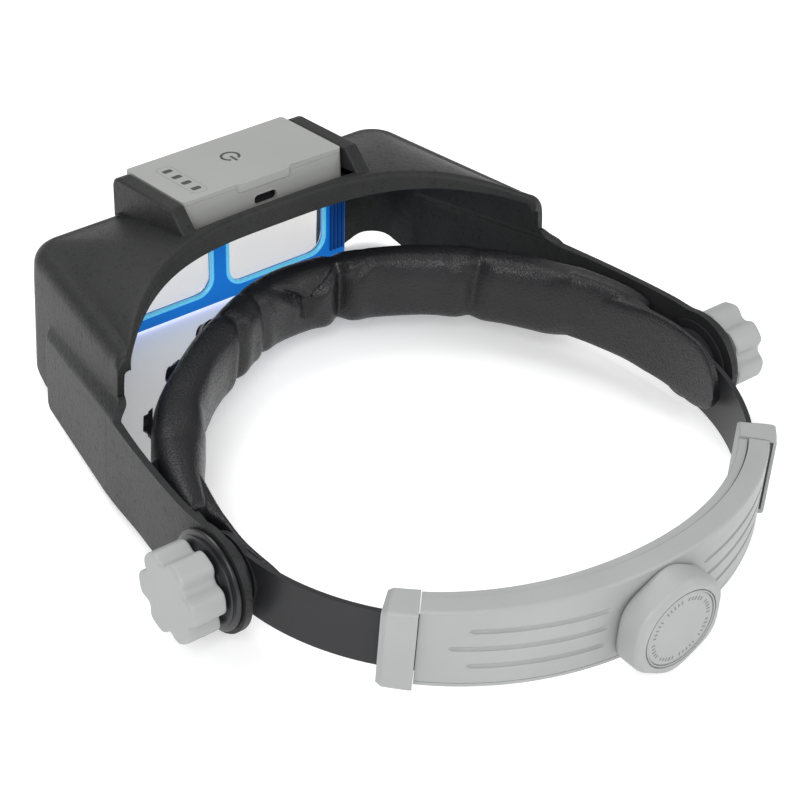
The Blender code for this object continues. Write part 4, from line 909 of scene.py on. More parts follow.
def make_rear_shell():
    start, end = COLLAR_END, 180 - COLLAR_END
    body = [housing_section(a, -1.8 * MM, 5.2 * MM, SHELL_BOTTOM, 0, 1.1 * MM)
            for a in steps_between(start, end, 110)]
    shell = mesh_object("rear_shell", loft(body))
    inside_bottom = SHELL_BOTTOM + SHELL_WALL
    hollow = [housing_section(a, -6 * MM, 3.3 * MM, inside_bottom, SHELL_WALL, 0.3 * MM)
              for a in steps_between(start - 3, end + 3, 80)]
    cut(shell, loft(hollow))
    knob_edge = 90 - math.degrees((DIAL_R + 0.5 * MM) / SIDE_STRAP_HALF_W)
    for side, _ in SIDES:
        for row in (-1, 0, 1):
            first = COLLAR_END + (9.0 if row else 5.5)
            cut(shell, groove_loops(first, knob_edge, (3.0 + 7.0 * row) * MM, side))
    lip = [housing_section(a, 5.0 * MM, 5.6 * MM, inside_bottom,
                           housing_top(a) - SHELL_BOTTOM - 2.15 * MM, 0.1 * MM)
           for a in steps_between(start - 1, end + 1, 110)]
    cut(shell, loft(lip))
    cut(shell, cylinder(SHAFT_HOLE_R, 0, 9 * MM, 40), DIAL_IN_BAND)
    shell.data.transform(BAND)
    finish_piece(shell, BODY_GREY, "rear_housing", ["rear_cover"])


def make_rear_panel():
    """Inner cover with two countersunk screw holes and a seat for the shaft."""
    loops = [housing_section(a, -5.2 * MM, -2.1 * MM, -12.5 * MM, 0.6 * MM, 0.3 * MM, True)
             for a in steps_between(COLLAR_END, 180 - COLLAR_END, 110)]
    panel = mesh_object("rear_panel", loft(loops))
    screw_hole = [(0, -6), (2.7, -6), (2.7, -1.4), (1.5, -1.4), (1.5, 3), (0, 3)]
    point = rear_point(60, -2.1 * MM, 0)
    out = ring_normal(60, SIDE_STRAP_HALF_W)
    for side, _ in SIDES:
        place = (Matrix.Translation((side * point.x, point.y, RATCHET_Z - side * 4 * MM))
                 @ Matrix.Rotation(math.atan2(out.y, side * out.x), 4, "Z")
                 @ Matrix.Rotation(math.pi / 2, 4, "Y"))
        cut(panel, turned([(r * MM, z * MM) for r, z in screw_hole], 32), place)
    cut(panel, cylinder(SHAFT_HOLE_R, -3.3 * MM, 4 * MM, 32), DIAL_IN_BAND)
    panel.data.transform(BAND)
    finish_piece(panel, BODY_GREY, "rear_housing", ["rear_base"])


def make_collar(side, label):
    """End collar: a proud flap over the shell's end, and a slot that the side strap slides in."""
    loops = []
    last = COLLAR_END - 0.15
    for a in steps_between(COLLAR_START, last, 16):
        near_strap = 1 - smooth_step((a - COLLAR_START) / 1.3)
        loop = housing_section(a, -5.2 * MM, (7.4 - 1.5 * near_strap) * MM, -13.9 * MM,
                               -0.3 * MM + 1.2 * MM * near_strap, 1.3 * MM, True)
        loops.append(mirrored(loop, side))
    collar = mesh_object(f"strap_collar_{label}", loft(loops))
    slot = []
    for a in steps_between(COLLAR_START - 3, last + 3, 8):
        loop = [rear_point(a, o * MM, z * MM)
                for o, z in ((-1.5, -11.4), (1.5, -11.4), (1.5, 11.4), (-1.5, 11.4))]
        slot.append(mirrored(loop, side))
    cut(collar, loft(slot))
    behind_flap = []
    for a in steps_between(COLLAR_END - 2.4, last + 1, 6):
        top = housing_top(a) - 0.8 * MM
        loop = [rear_point(a, o * MM, z)
                for o, z in ((5.0, -12.2 * MM), (6.35, -12.2 * MM), (6.35, top), (5.0, top))]
        behind_flap.append(mirrored(loop, side))
    cut(collar, loft(behind_flap))
    collar.data.transform(BAND)
    finish_piece(collar, BODY_GREY, "rear_housing", [f"end_collar_{label}"], 30)


def dial_outline(radius, flats, cut_depth):
    """Round outline with soft flats on it."""
    points = []
    for i in range(160):
        a = 2 * math.pi * i / 160
        step = math.pi * 2 / flats
        away = (a + step / 2) % step - step / 2
        r = radius * (1 - cut_depth * math.cos(flats * away) * 0.5)
        points.append((r * math.cos(a), r * math.sin(a)))
    return points


def make_dial():
    levels = [(0.985, 5.5), (1.0, 6.0), (1.012, 7.0), (1.0, 13.2), (0.99, 13.9), (0.955, 14.7),
              (0.90, 15.2), (0.86, 15.4)]
    loops = []
    for scale, height in levels:
        loops.append([(x * scale, y * scale, height * MM) for x, y in dial_outline(DIAL_R, 6, 0.055)])
    dial = mesh_object("ratchet_dial", loft(loops))
    ring = [(14.2, 14.7), (14.7, 14.7), (14.7, 17), (14.2, 17)]
    cut(dial, turned([(r * MM, z * MM) for r, z in ring], 96))
    cap_recess = cylinder(13.75 * MM, 13.6 * MM, 17 * MM, 96)
    cut(dial, cap_recess)
    bore = [(0, 0), (3.1, 0), (3.1, 11.5), (2.2, 11.5), (2.2, 15), (0, 15)]
    cut(dial, turned([(r * MM, z * MM) for r, z in bore], 40))
    dial.data.transform(DIAL)
    finish_piece(dial, BODY_GREY, "ratchet", ["ratchet_knob"], 38)
    cap_profile = [(0, 13.9), (13.65, 13.9), (13.65, 14.9), (13.45, 15.1), (13.0, 15.2), (0, 15.3)]
    cap = mesh_object("dial_cap", turned([(r * MM, z * MM) for r, z in cap_profile], 96), DIAL)
    finish_piece(cap, BODY_GREY, "ratchet", ["knob_cap"], 30)
    outwards = []
    for i in range(48):
        a = 2 * math.pi * i / 48
        if i % 6:
            outwards.append((math.cos(a), math.sin(a), 0))
    points = [(TICK_R * x, TICK_R * y, 15.2 * MM) for x, y, _ in outwards]
    ticks = grow("dial_ticks", MARKS, points, outwards, PRINT_GREY,
                 {"Width": 0.5 * MM, "Length": 1.5 * MM, "Depth": 0.16 * MM}, DIAL)
    finish_piece(ticks, PRINT_GREY, "ratchet", ())


# ---------------------------------------------------------------- visor hood

HOOD_FRONT_HALF_W = 76.8 * MM
HOOD_REAR_HALF_W = 91.2 * MM
HOOD_WALL = 2.4 * MM
CORNER_R = 13.0 * MM
FOLD_R = 6.0 * MM
DRAFT = math.tan(math.radians(2.0))
TOP_FRONT_Z, TOP_REAR_Z = 40.4 * MM, 38.6 * MM
BROW_Y, BROW_Z, BROW_HALF_W = -106.5 * MM, 50.0 * MM, 86.0 * MM
ARM_FRONT_Y = -130.5 * MM
HOOD_BOTTOM_Z, ARM_BOTTOM_Z = -9.3 * MM, -13.1 * MM
LEDGE_FRONT_Z, LEDGE_REAR_Z, LEDGE_RISE = 14.0 * MM, 18.8 * MM, 5.6 * MM
ARM_TOP_REAR_Z = 17.6 * MM
ARM_PIVOT_X = 104.9 * MM
ARM_DISC_R = 18.5 * MM
ARM_PROUD_FRONT, ARM_PROUD_REAR = 1.8 * MM, 4.2 * MM
ARCH_Y, ARCH_RISE = 75 * MM, 3.5 * MM
CRADLE_HALF_W = 34.3 * MM
SIDE_POINTS = 15


def hood_stations():
    """Plan points and outward normals of one half of the hood's top edge, and how far along
    the edge each one lies."""
    front = Vector((HOOD_FRONT_HALF_W, HOOD_FRONT_Y))
    rear = Vector((HOOD_REAR_HALF_W, HOOD_REAR_Y))
    along = (rear - front).normalized()
    side_normal = Vector((along.y, -along.x))
    turn = math.atan2(along.y, along.x)
    tangent = CORNER_R * math.tan(turn / 2)
    centre = Vector((front.x - tangent, HOOD_FRONT_Y + CORNER_R))
    stations = [(Vector((centre.x * i / 16, HOOD_FRONT_Y)), Vector((0, -1))) for i in range(16)]
    for i in range(15):
        a = -math.pi / 2 + turn * i / 14
        normal = Vector((math.cos(a), math.sin(a)))
        stations.append((centre + normal * CORNER_R, normal))
    corner_end = front + along * tangent
    ys = [-135.0, -132.5] + [-130.5 + 0.5 * i for i in range(10)]
    ys += [-125.5 + 4.0 * i for i in range(12)]
    ys += [-78.5, -76.0, -74.6, -73.6, -72.8, -72.2, -71.7, -71.3, -71.0]
    for y in ys:
        share = (y * MM - corner_end.y) / (rear.y - corner_end.y)
        stations.append((corner_end.lerp(rear, share), side_normal))
    lengths = [0.0]
    for (a, _), (b, _) in zip(stations, stations[1:]):
        lengths.append(lengths[-1] + (b - a).length)
    return stations, lengths


def brow_points(shares):
    """Points of the arched brow edge, at shares of its length from the middle."""
    fine = [Vector((BROW_HALF_W * u, mix(BROW_Y, HOOD_REAR_Y, u ** 2.7), mix(BROW_Z, TOP_REAR_Z, u ** 3.8)))
            for u in steps_between(0, 1, 600)]
    lengths = [0.0]
    for a, b in zip(fine, fine[1:]):
        lengths.append(lengths[-1] + (b - a).length)
    found = []
    k = 0
    for share in shares:
        target = share * lengths[-1]
        while k < len(fine) - 2 and lengths[k + 1] < target:
            k += 1
        part = (target - lengths[k]) / (lengths[k + 1] - lengths[k])
        found.append(fine[k].lerp(fine[k + 1], min(max(part, 0.0), 1.0)))
    return found


def arm_share(y):
    return min(max((y - ARM_FRONT_Y) / (HOOD_REAR_Y - ARM_FRONT_Y), 0.0), 1.0)


def ledge_out(y, z):
    """How far the arm's plate stands out from the hood's side, with a soft ledge above it."""
    share = arm_share(y)
    ledge = mix(LEDGE_FRONT_Z, LEDGE_REAR_Z, share)
    full = mix(ARM_PROUD_FRONT, ARM_PROUD_REAR, share) * smooth_step((y - ARM_FRONT_Y) / (2.4 * MM))
    return full * (1 - smooth_step((z - ledge) / LEDGE_RISE))


def side_bottom(y, along):
    """Lower edge of the side, with a shallow arch near the front corner."""
    arch = ARCH_RISE * math.exp(-abs((along - ARCH_Y) / (10.5 * MM)) ** 3.2)
    return mix(HOOD_BOTTOM_Z, ARM_BOTTOM_Z, smooth_step((y - ARM_FRONT_Y) / (4.5 * MM))) + arch


def rear_drop(y):
    """The top rear corner of the hood's side is rounded."""
    radius = 3.2 * MM
    t = (y - (HOOD_REAR_Y - radius)) / radius
    return radius * (1 - math.sqrt(max(0.0, 1 - t * t))) if t > 0 else 0.0


def hood_section(point, normal, brow, along, wall):
    """Points from the bottom edge up the side, over the fold and the top to the brow's lower
    edge. wall 0 gives the outer skin."""
    y = point.y
    back = min(max((y - HOOD_FRONT_Y) / (HOOD_REAR_Y - HOOD_FRONT_Y), 0.0), 1.0)
    outer_top = mix(TOP_FRONT_Z, TOP_REAR_Z, back) - rear_drop(y)
    top = outer_top - wall
    bottom = side_bottom(y, along)
    ledge = mix(LEDGE_FRONT_Z, LEDGE_REAR_Z, arm_share(y))

    def wall_point(z):
        spread = (outer_top - z) * DRAFT + ledge_out(y, z + 0.6 * wall) - wall
        return Vector((point.x + normal.x * spread, point.y + normal.y * spread, z))

    split = ledge - wall * 0.6
    section = [wall_point(mix(bottom, split, i / 6)) for i in range(6)]
    section += [wall_point(split + LEDGE_RISE * i / 8) for i in range(SIDE_POINTS - 6)]
    plan = Vector((brow.x, brow.y))
    reach = (plan - point).length
    radius = max(min(FOLD_R, reach * 0.8) - wall, 0.6 * MM)
    centre = point - normal * (radius + wall)
    fold_start = top - radius
    last = section[-1].z
    section += [wall_point(mix(last, fold_start, i / 3)) for i in (1, 2)]
    for i in range(9):
        a = math.pi / 2 * i / 8
        spread = radius * math.cos(a)
        section.append(Vector((centre.x + normal.x * spread, centre.y + normal.y * spread,
                               top - radius + radius * math.sin(a))))
    edge = Vector((centre.x, centre.y, top))
    inset = plan - Vector((centre.x, centre.y))
    inset = inset.normalized() * min(wall, inset.length * 0.5) if wall else Vector((0, 0))
    brow_z = brow.z - rear_drop(y)
    rim = Vector((brow.x - inset.x, brow.y - inset.y, brow_z - wall))
    middle = edge.lerp(rim, 0.5)
    middle.z += 0.24 * (rim.z - edge.z)
    u = abs(brow.x) / BROW_HALF_W
    drop = mix(8.6 * MM, 2.9 * MM, u ** 2)
    outward = plan - Vector((centre.x, centre.y))
    outward = outward.normalized() if outward.length > 0 else Vector((0, 1))
    edge_r = min(2.2 * MM, drop * 0.45) if not wall else 0.4 * MM
    start = rim - Vector((outward.x, outward.y, 0)) * edge_r
    for t in steps_between(0, 1, 8)[1:]:
        section.append(edge * (1 - t) ** 2 + middle * 2 * t * (1 - t) + start * t * t)
    for i in range(1, 6):
        a = math.pi / 2 * i / 5
        section.append(start + Vector((outward.x, outward.y, 0)) * edge_r * math.sin(a)
                       - Vector((0, 0, edge_r * (1 - math.cos(a)))))
    low = brow_z - drop
    for i in range(1, 4):
        section.append(Vector((rim.x, rim.y, mix(rim.z - edge_r, low, i / 3))))
    return section


def arm_section(y, wall):
    """The arm behind the hood, ending in a disc round the pivot."""
    rear_x = HOOD_REAR_HALF_W + ARM_PROUD_REAR + (TOP_REAR_Z - ARM_TOP_REAR_Z) * DRAFT
    share = (y - HOOD_REAR_Y) / -HOOD_REAR_Y
    along = min(1.0, (y - HOOD_REAR_Y) / (-ARM_DISC_R * 0.7 - HOOD_REAR_Y))
    x = mix(rear_x, ARM_PIVOT_X, 1 - (1 - along) ** 1.3)
    circle = math.sqrt(max(0.0, ARM_DISC_R ** 2 - y * y)) if abs(y) < ARM_DISC_R else 0.0
    line = mix(LEDGE_REAR_Z, ARM_TOP_REAR_Z, share)
    bump = 5.6 * MM * (1 - smooth_step((y - HOOD_REAR_Y) / (6.0 * MM)) ** 1.5)
    top = line + bump if y < -6 * MM else circle
    low_line = mix(ARM_BOTTOM_Z, -ARM_DISC_R * 0.86, min(1.0, max(share, 0.0)) ** 2)
    bottom = low_line if y < -9.4 * MM else -circle
    fade = 1 - smooth_step((y - HOOD_REAR_Y) / (26 * MM))
    split = min(line - wall * 0.6 * fade, top - 1.5 * MM)
    points = []
    for i in range(SIDE_POINTS):
        if i < 6:
            z = mix(bottom, split, i / 6)
        else:
            z = mix(split, top, (i - 6) / (SIDE_POINTS - 7))
        lean = (ARM_TOP_REAR_Z - z) * DRAFT + ledge_out(HOOD_REAR_Y, z + 0.6 * wall) - ARM_PROUD_REAR
        points.append(Vector((x - wall + fade * lean, y, z)))
    return points


def shell_from_skins(outer, inner):
    """Closed shell between two skins of matching sections. A section may be shorter than its
    neighbour, and then its points match the neighbour's first ones."""
    bm = bmesh.new()
    verts = [[[bm.verts.new(p) for p in section] for section in skin] for skin in (outer, inner)]
    edges = {}
    for s in range(len(outer) - 1):
        count = min(len(outer[s]), len(outer[s + 1]))
        for v in range(count - 1):
            face = [(s, v), (s + 1, v), (s + 1, v + 1), (s, v + 1)]
            for a, b in zip(face, face[1:] + face[:1]):
                edges[(a, b)] = True
            bm.faces.new([verts[0][i][j] for i, j in face])
            bm.faces.new([verts[1][i][j] for i, j in reversed(face)])
    for a, b in edges:
        if (b, a) not in edges:
            bm.faces.new((verts[0][b[0]][b[1]], verts[0][a[0]][a[1]],
                          verts[1][a[0]][a[1]], verts[1][b[0]][b[1]]))
    loose = [v for v in bm.verts if not v.link_faces]
    bmesh.ops.delete(bm, geom=loose, context="VERTS")
    return bm


def make_hood():
    stations, lengths = hood_stations()
    brows = brow_points([s / lengths[-1] for s in lengths])
    arm_ys = [HOOD_REAR_Y + 0.6 * MM * i for i in range(1, 12)]
    arm_ys += steps_between(HOOD_REAR_Y + 9 * MM, -ARM_DISC_R, 10)
    arm_ys += [-ARM_DISC_R * math.cos(math.pi * i / 24) for i in range(2, 24)]
    skins = []
    for wall in (0.0, HOOD_WALL):
        half = [hood_section(p, n, b, s, wall) for (p, n), b, s in zip(stations, brows, lengths)]
        half += [arm_section(y, wall) for y in arm_ys]
        other_half = [mirrored(section, -1) for section in reversed(half[1:])]
        skins.append(other_half + half)
    hood = mesh_object("hood_shell", shell_from_skins(*skins))
    round_edges(hood, 0.55 * MM, 2, 55)
    bay = [(HOOD_FRONT_Y - 5 * MM, LAMP_FLOOR_Z - 3 * MM), (HOOD_FRONT_Y - 5 * MM, LAMP_FLOOR_Z + 30 * MM),
           (BROW_Y - 2.4 * MM, LAMP_FLOOR_Z + 30 * MM), (BROW_Y - 2.4 * MM, LAMP_FLOOR_Z)]
    cut(hood, prism_along_x(bay, -CRADLE_HALF_W, CRADLE_HALF_W))
    window = rounded_rectangle(99.0 * MM, 46 * MM, 7 * MM, 8, (0, 3.7 * MM))
    cut(hood, upright(prism(window, HOOD_FRONT_Y - 6 * MM, HOOD_FRONT_Y + 6 * MM)))
    hood.data.transform(VISOR)
    finish_piece(hood, HOOD_BLACK, "visor", ["visor_hood"], 45)


def make_cradle():
    """Cheeks beside the lamp with a floor between them."""
    half, thick = CRADLE_HALF_W, 6.0 * MM
    rise = math.tan(LAMP_PITCH)
    rear = BROW_Y - 0.4 * MM
    lamp_rear = HOOD_FRONT_Y + LAMP_LENGTH
    top = 54.1 * MM
    base = 37.5 * MM
    outline = [(HOOD_FRONT_Y, base), (HOOD_FRONT_Y, top - 3.4 * MM),
               (HOOD_FRONT_Y + 0.9 * MM, top - 1.0 * MM), (HOOD_FRONT_Y + 3.2 * MM, top + 0.1 * MM),
               (lamp_rear + 0.5 * MM, top + 36.3 * MM * rise), (rear, 49.2 * MM), (rear, 43.0 * MM)]
    cradle = mesh_object("lamp_cradle", prism_along_x(outline, half, half + thick))
    round_edges(cradle, 1.1 * MM, 4, 15)
    right = bmesh.new()
    right.from_mesh(cradle.data)
    bmesh.ops.scale(right, vec=(-1, 1, 1), verts=right.verts)
    bmesh.ops.reverse_faces(right, faces=right.faces)
    add(cradle, right)
    foot = [(HOOD_FRONT_Y + 4 * MM, base), (HOOD_FRONT_Y + 4 * MM, 41.0 * MM),
            (rear - 2.5 * MM, 47.6 * MM), (rear - 2.5 * MM, base)]
    for side, _ in SIDES:
        lows = sorted((side * (half + thick - 0.5 * MM), side * (half + thick + 1.4 * MM)))
        add(cradle, prism_along_x(foot, *lows))
    floor = [(HOOD_FRONT_Y + 0.4 * MM, LAMP_FLOOR_Z - 3.4 * MM), (HOOD_FRONT_Y + 0.4 * MM, LAMP_FLOOR_Z),
             (rear, LAMP_FLOOR_Z + (rear - HOOD_FRONT_Y) * rise),
             (rear, LAMP_FLOOR_Z - 2.4 * MM + (rear - HOOD_FRONT_Y) * rise)]
    add(cradle, prism_along_x(floor, -half - 1 * MM, half + 1 * MM))
    cradle.data.transform(VISOR)
    finish_piece(cradle, HOOD_BLACK, "visor", (), 40)


# ---------------------------------------------------------------- lens plate

LENS_W, LENS_H, LENS_POST, LENS_CORNER = 43.4 * MM, 30.0 * MM, 8.0 * MM, 6.0 * MM
PLATE_FRONT_Y = HOOD_FRONT_Y + 2.7 * MM
PLATE_THICK = 4.0 * MM
LENS_MIDDLE_Z = HOOD_BOTTOM_Z + 6.0 * MM + LENS_H / 2


def make_lens_plate():
    outline = rounded_rectangle(116 * MM, LENS_H + 12 * MM, 2.5 * MM, 6, (0, LENS_MIDDLE_Z))
    plate = mesh_object("lens_plate", upright(prism(outline, PLATE_FRONT_Y, PLATE_FRONT_Y + PLATE_THICK)))
    round_edges(plate, 0.7 * MM, 3, 40)
    centres = [(side * (LENS_POST + LENS_W) / 2, LENS_MIDDLE_Z) for side, _ in SIDES]
    for centre in centres:
        window = rounded_rectangle(LENS_W, LENS_H, LENS_CORNER, 12, centre)
        cut(plate, upright(prism(window, PLATE_FRONT_Y - MM, PLATE_FRONT_Y + 9 * MM)))
        seat = rounded_rectangle(LENS_W + 2.6 * MM, LENS_H + 2.6 * MM, LENS_CORNER + 1.3 * MM, 12, centre)
        cut(plate, upright(prism(seat, PLATE_FRONT_Y - MM, PLATE_FRONT_Y + 2.4 * MM)))
    rims = joined("window_rims", [rim_ring(centre) for centre in centres])
    # The plate and the rims round its windows carry a painted glow in their emission.
    plate.data.transform(VISOR)
    finish_piece(plate, PLATE_BLUE_PAINTED_GLOW, "visor", ["lens_frame"], 35)
    rims.data.transform(VISOR)
    finish_piece(rims, RIM_CYAN_PAINTED_GLOW, "visor", (), 35)


def rim_ring(centre):
    """Bevelled rim round a window on the plate's rear face."""
    back = PLATE_FRONT_Y + PLATE_THICK
    profile = [(0.05, -1.3), (-0.25, 0.1), (0.1, 0.45), (0.8, 0.5), (1.25, 0.1), (1.25, -1.3)]
    loops = []
    for wider, out in profile:
        size = 2 * wider * MM
        loop = rounded_rectangle(LENS_W + size, LENS_H + size, LENS_CORNER + wider * MM, 12, centre)
        loops.append([(x, back + out * MM, z) for x, z in loop])
    return hoop(loops)


def make_plate_ribs():
    # The ribs are coloured in the darkened blue of painted shade.
    back = PLATE_FRONT_Y + PLATE_THICK
    for side, label in SIDES:
        ribs = grow(f"plate_ribs_{label}", RIBS, [(0, 0, 0)], [(0, 0, 1)], RIB_BLUE_PAINTED_SHADE,
                    {"Count": 4, "Pitch": (side * 1.75 * MM, 0, 0),
                     "First": (side * 51.0 * MM, back + 0.3 * MM, LENS_MIDDLE_Z - 3.2 * MM),
                     "Rib Size": (1.1 * MM, 1.0 * MM, 27 * MM)})
        round_edges(ribs, 0.22 * MM, 2, 30)
        ribs.data.transform(VISOR)
        finish_piece(ribs, RIB_BLUE_PAINTED_SHADE, "visor", ())


# ---------------------------------------------------------------- lamp

LID = 1.8 * MM
LAMP_MIDDLE = (0, LAMP_LENGTH / 2)
MOUTH_W, MOUTH_H, MOUTH_R = 9.6 * MM, 3.5 * MM, 1.7 * MM
MOUTH_MIDDLE = (-0.3 * MM, 3.9 * MM)
INDICATOR_MIDDLE = (23.8 * MM, 20.1 * MM)
INDICATOR_PLACES = [(23.8 * MM, 20.1 * MM + (i - 1.5) * 5.9 * MM) for i in range(4)]


def make_lamp_case():
    case = mesh_object("lamp_body", block(LAMP_W, LAMP_LENGTH, 0, LAMP_H - LID, LAMP_MIDDLE, 1.2 * MM))
    round_edges(case, 0.15 * MM, 2, 60)
    cut(case, block(LAMP_W - 3.2 * MM, LAMP_LENGTH - 3.2 * MM, 1.6 * MM, LAMP_H + 5 * MM, LAMP_MIDDLE,
                    1.2 * MM))
    opening = rounded_rectangle(45 * MM, 7.5 * MM, 2 * MM, 8, (0, 6.95 * MM))
    cut(case, upright(prism(opening, -2 * MM, 2.0 * MM)))
    mouth = rounded_rectangle(MOUTH_W, MOUTH_H, MOUTH_R, 10, MOUTH_MIDDLE)
    cut(case, upright(prism(mouth, LAMP_LENGTH - 2.4 * MM, LAMP_LENGTH + 2 * MM)))
    case.data.transform(LAMP)
    finish_piece(case, LAMP_GREY, "lamp", ["lamp_case"], 35)


def make_socket_rim():
    """Thin raised rim round the charging mouth."""
    loops = []
    for wider, out in ((0.0, -0.5), (0.0, 0.04), (0.35, 0.12), (0.7, 0.0), (0.7, -0.5)):
        size = 2 * wider * MM
        loop = rounded_rectangle(MOUTH_W + size, MOUTH_H + size, MOUTH_R + wider * MM, 10, MOUTH_MIDDLE)
        loops.append([(x, LAMP_LENGTH + out * MM, z) for x, z in loop])
    rim = mesh_object("socket_rim", hoop(loops), LAMP)
    finish_piece(rim, LAMP_GREY, "lamp", ())


def make_usb_socket():
    """Solid metal body with a shallow mouth and a tongue in it."""
    width, height = 8.9 * MM, 2.9 * MM
    body = rounded_rectangle(width, height, 1.4 * MM, 8, MOUTH_MIDDLE)
    socket = mesh_object("charge_socket",
                         upright(prism(body, LAMP_LENGTH - 7.5 * MM, LAMP_LENGTH - 0.6 * MM)))
    hollow = rounded_rectangle(width - 0.7 * MM, height - 0.7 * MM, 1.05 * MM, 8, MOUTH_MIDDLE)
    cut(socket, upright(prism(hollow, LAMP_LENGTH - 1.7 * MM, LAMP_LENGTH + MM)))
    tongue = rounded_rectangle(6.4 * MM, 0.7 * MM, 0.2 * MM, 3, MOUTH_MIDDLE)
    add(socket, upright(prism(tongue, LAMP_LENGTH - 2.0 * MM, LAMP_LENGTH - 1.0 * MM)))
    socket.data.transform(LAMP)
    finish_piece(socket, WASHER_BLACK, "lamp", ["usb_socket"])


def make_lamp_lid():
    split = LAMP_H - LID
    lid = mesh_object("lamp_lid", block(LAMP_W, LAMP_LENGTH, split + 0.05 * MM, LAMP_H, LAMP_MIDDLE,
                                        1.2 * MM))
    tongue = [(-12.6, -3.0), (-11.4, 0.2), (-10.2, 0.9), (10.2, 0.9), (11.4, 0.2), (12.6, -3.0)]
    outline = [(x * MM, LAMP_LENGTH + y * MM) for x, y in tongue]
    add(lid, prism(outline, split - 1.5 * MM, LAMP_H - 0.02 * MM))
    round_edges(lid, 0.55 * MM, 3, 30)
    for centre in INDICATOR_PLACES:
        hole = rounded_rectangle(3.7 * MM, 2.5 * MM, 0.7 * MM, 5, centre)
        cut(lid, prism(hole, split - 2 * MM, LAMP_H + MM))
    lid.data.transform(LAMP)
    finish_piece(lid, LAMP_GREY, "lamp", ["lamp_cover"], 35)


def flat_ring(outer, inner, low, high):
    """Flat strip between two outlines of equal point counts."""
    return hoop([[(x, y, z) for x, y in loop]
                 for loop, z in ((outer, low), (outer, high), (inner, high), (inner, low))])


def make_charge_indicator():
    """Four windows and the line round them."""
    panes = [prism(rounded_rectangle(3.6 * MM, 2.4 * MM, 0.65 * MM, 5, centre), LAMP_H - 1.6 * MM,
                   LAMP_H - 0.10 * MM) for centre in INDICATOR_PLACES]
    windows = joined("charge_windows", panes)
    windows.data.transform(LAMP)
    finish_piece(windows, MARK_GREY, "lamp", ["light_guide"])
    pill = flat_ring(rounded_rectangle(6.4 * MM, 25.2 * MM, 2.2 * MM, 8, INDICATOR_MIDDLE),
                     rounded_rectangle(6.0 * MM, 24.8 * MM, 2.0 * MM, 8, INDICATOR_MIDDLE),
                     LAMP_H - 0.2 * MM, LAMP_H + 0.02 * MM)
    line = mesh_object("indicator_line", pill, LAMP)
    finish_piece(line, FAINT_GREY, "lamp", ())


def make_power_symbol():
    """Symbol of the touch switch: an open ring with a bar in the gap."""
    centre = Vector((0, 15.6 * MM))
    half_gap = 28
    outer, inner = [], []
    for a in steps_between(90 + half_gap, 450 - half_gap, 60):
        t = math.radians(a)
        way = Vector((math.cos(t), math.sin(t)))
        outer.append(centre + way * 3.7 * MM)
        inner.append(centre + way * 2.7 * MM)
    low, high = LAMP_H - 0.2 * MM, LAMP_H + 0.04 * MM
    arc = prism([tuple(p) for p in outer + list(reversed(inner))], low, high)
    bar = prism(rounded_rectangle(1.0 * MM, 4.4 * MM, 0.15 * MM, 3, (0, 17.9 * MM)), low, high)
    symbol = joined("power_symbol", [arc, bar])
    symbol.data.transform(LAMP)
    finish_piece(symbol, MARK_GREY, "lamp", ())


# ---------------------------------------------------------------- stage

def make_floor():
    bm = bmesh.new()
    bmesh.ops.create_grid(bm, x_segments=2, y_segments=2, size=3.0)
    floor = mesh_object("floor", bm, Matrix.Translation((0, 0, -0.0002)))
    mat, tree, shader, place = start_material("floor_pale")
    drift = noise_node(tree, place, 3.0, 2.0)
    tree.links.new(colour_between(tree, drift, (0.90, 0.90, 0.90), (0.93, 0.93, 0.93)),
                   shader.inputs["Base Color"])
    shader.inputs["Roughness"].default_value = 0.9
    shader.inputs["Emission Color"].default_value = (1, 1, 1, 1)
    shader.inputs["Emission Strength"].default_value = 0.26
    shader.inputs["Specular IOR Level"].default_value = 0.0
    floor.data.materials.append(mat)


def make_light(name, place, target, size, energy):
    data = bpy.data.lights.new(name, "AREA")
    data.shape = "DISK"
    data.size = size
    data.energy = energy
    obj = scene_object(name, data)
    obj.location = place
    obj.rotation_euler = (Vector(target) - Vector(place)).to_track_quat("-Z", "Y").to_euler()


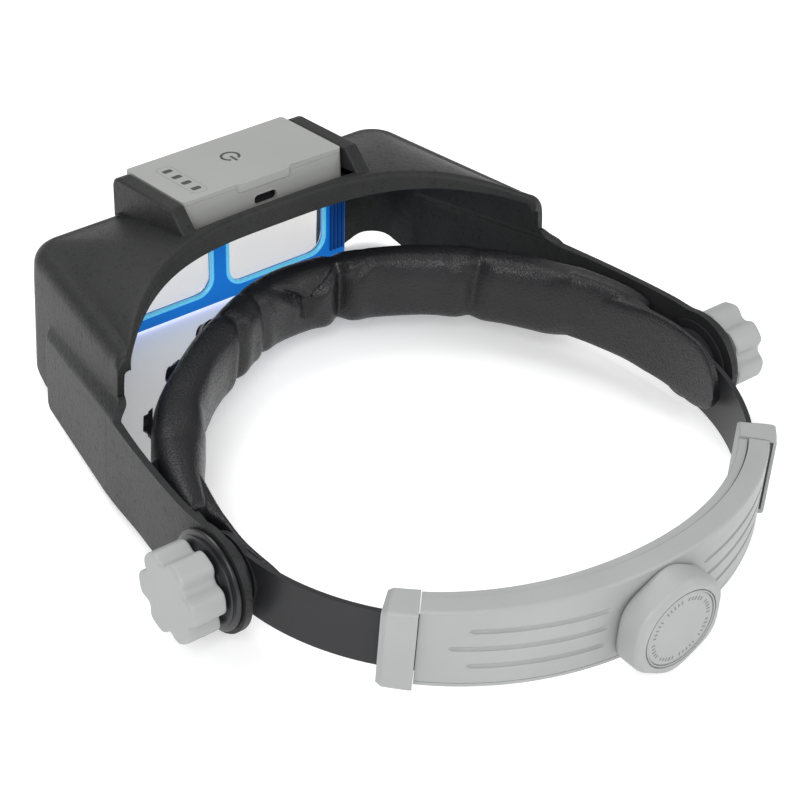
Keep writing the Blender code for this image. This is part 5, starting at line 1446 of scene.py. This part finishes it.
def make_stage():
    make_floor()
    make_light("key", (0.85, 0.80, 0.95), (0, 0, 0), 0.9, 14)
    make_light("fill", (-0.7, 0.9, 0.6), (0, 0, 0.02), 0.9, 5)
    make_light("top", (0.1, -0.6, 1.1), (0, -0.05, 0.03), 0.9, 7)
    world = bpy.data.worlds.new("studio")
    bpy.context.scene.world = world
    world.use_nodes = True
    background = world.node_tree.nodes["Background"]
    background.inputs["Color"].default_value = (1, 1, 1, 1)
    background.inputs["Strength"].default_value = 0.52
    bpy.context.scene.view_settings.view_transform = "Standard"


CAMERA_FROM_PIVOT = Vector((445.324, 466.234, 511.870)) * MM
CAMERA_RIGHT = Vector((-0.781337, 0.620391, 0.068030))
CAMERA_FORWARD = Vector((-0.526784, -0.597109, -0.604946))


def make_camera():
    data = bpy.data.cameras.new("camera")
    data.lens = 111.95
    data.sensor_width = 36
    data.clip_start = 0.01
    camera = scene_object("camera", data)
    right = CAMERA_RIGHT.normalized()
    forward = CAMERA_FORWARD.normalized()
    up = right.cross(forward)
    place = PIVOT + CAMERA_FROM_PIVOT
    camera.matrix_world = Matrix(((right.x, up.x, -forward.x, place.x),
                                  (right.y, up.y, -forward.y, place.y),
                                  (right.z, up.z, -forward.z, place.z), (0, 0, 0, 1)))
    bpy.context.scene.camera = camera


# ---------------------------------------------------------------- all of it

def paint_nodes():
    """Finishes of the CAD nodes that stay in view."""
    paints = {
        PLATED_STEEL: ["pivot_bolt_left", "pivot_bolt_right", "lens_screw_left", "lens_screw_right",
                       "housing_screw_left", "housing_screw_right", "detent_washer", "knob_screw"],
        STRAP_BLACK: ["inner_washer_left", "inner_washer_right"],
        WASHER_BLACK: ["pinion"],
        LENS_CLEAR: ["lens_left", "lens_right"],
        WINDOW_CLEAR: ["lamp_window"],
        TURNED_BRASS: ["knob_insert_left", "knob_insert_right"],
        BOARD_GREEN: ["circuit_board"],
        CELL_FOIL: ["battery"],
        LED_RESIN: ["led_left", "led_right"],
    }
    for material, names in paints.items():
        for name in names:
            mesh = NODES[name].data
            mesh.materials.clear()
            mesh.materials.append(material)


make_camera()
make_stage()
make_brow_strap()
make_pad()
make_studs()
make_side_straps()
for side_sign, side_name in SIDES:
    make_clamp_knob(side_sign, side_name)
    make_washer(side_sign, side_name)
    make_collar(side_sign, side_name)
make_rear_shell()
make_rear_panel()
make_dial()
make_hood()
make_cradle()
make_lens_plate()
make_plate_ribs()
make_lamp_case()
make_socket_rim()
make_usb_socket()
make_lamp_lid()
make_charge_indicator()
make_power_symbol()
paint_nodes()
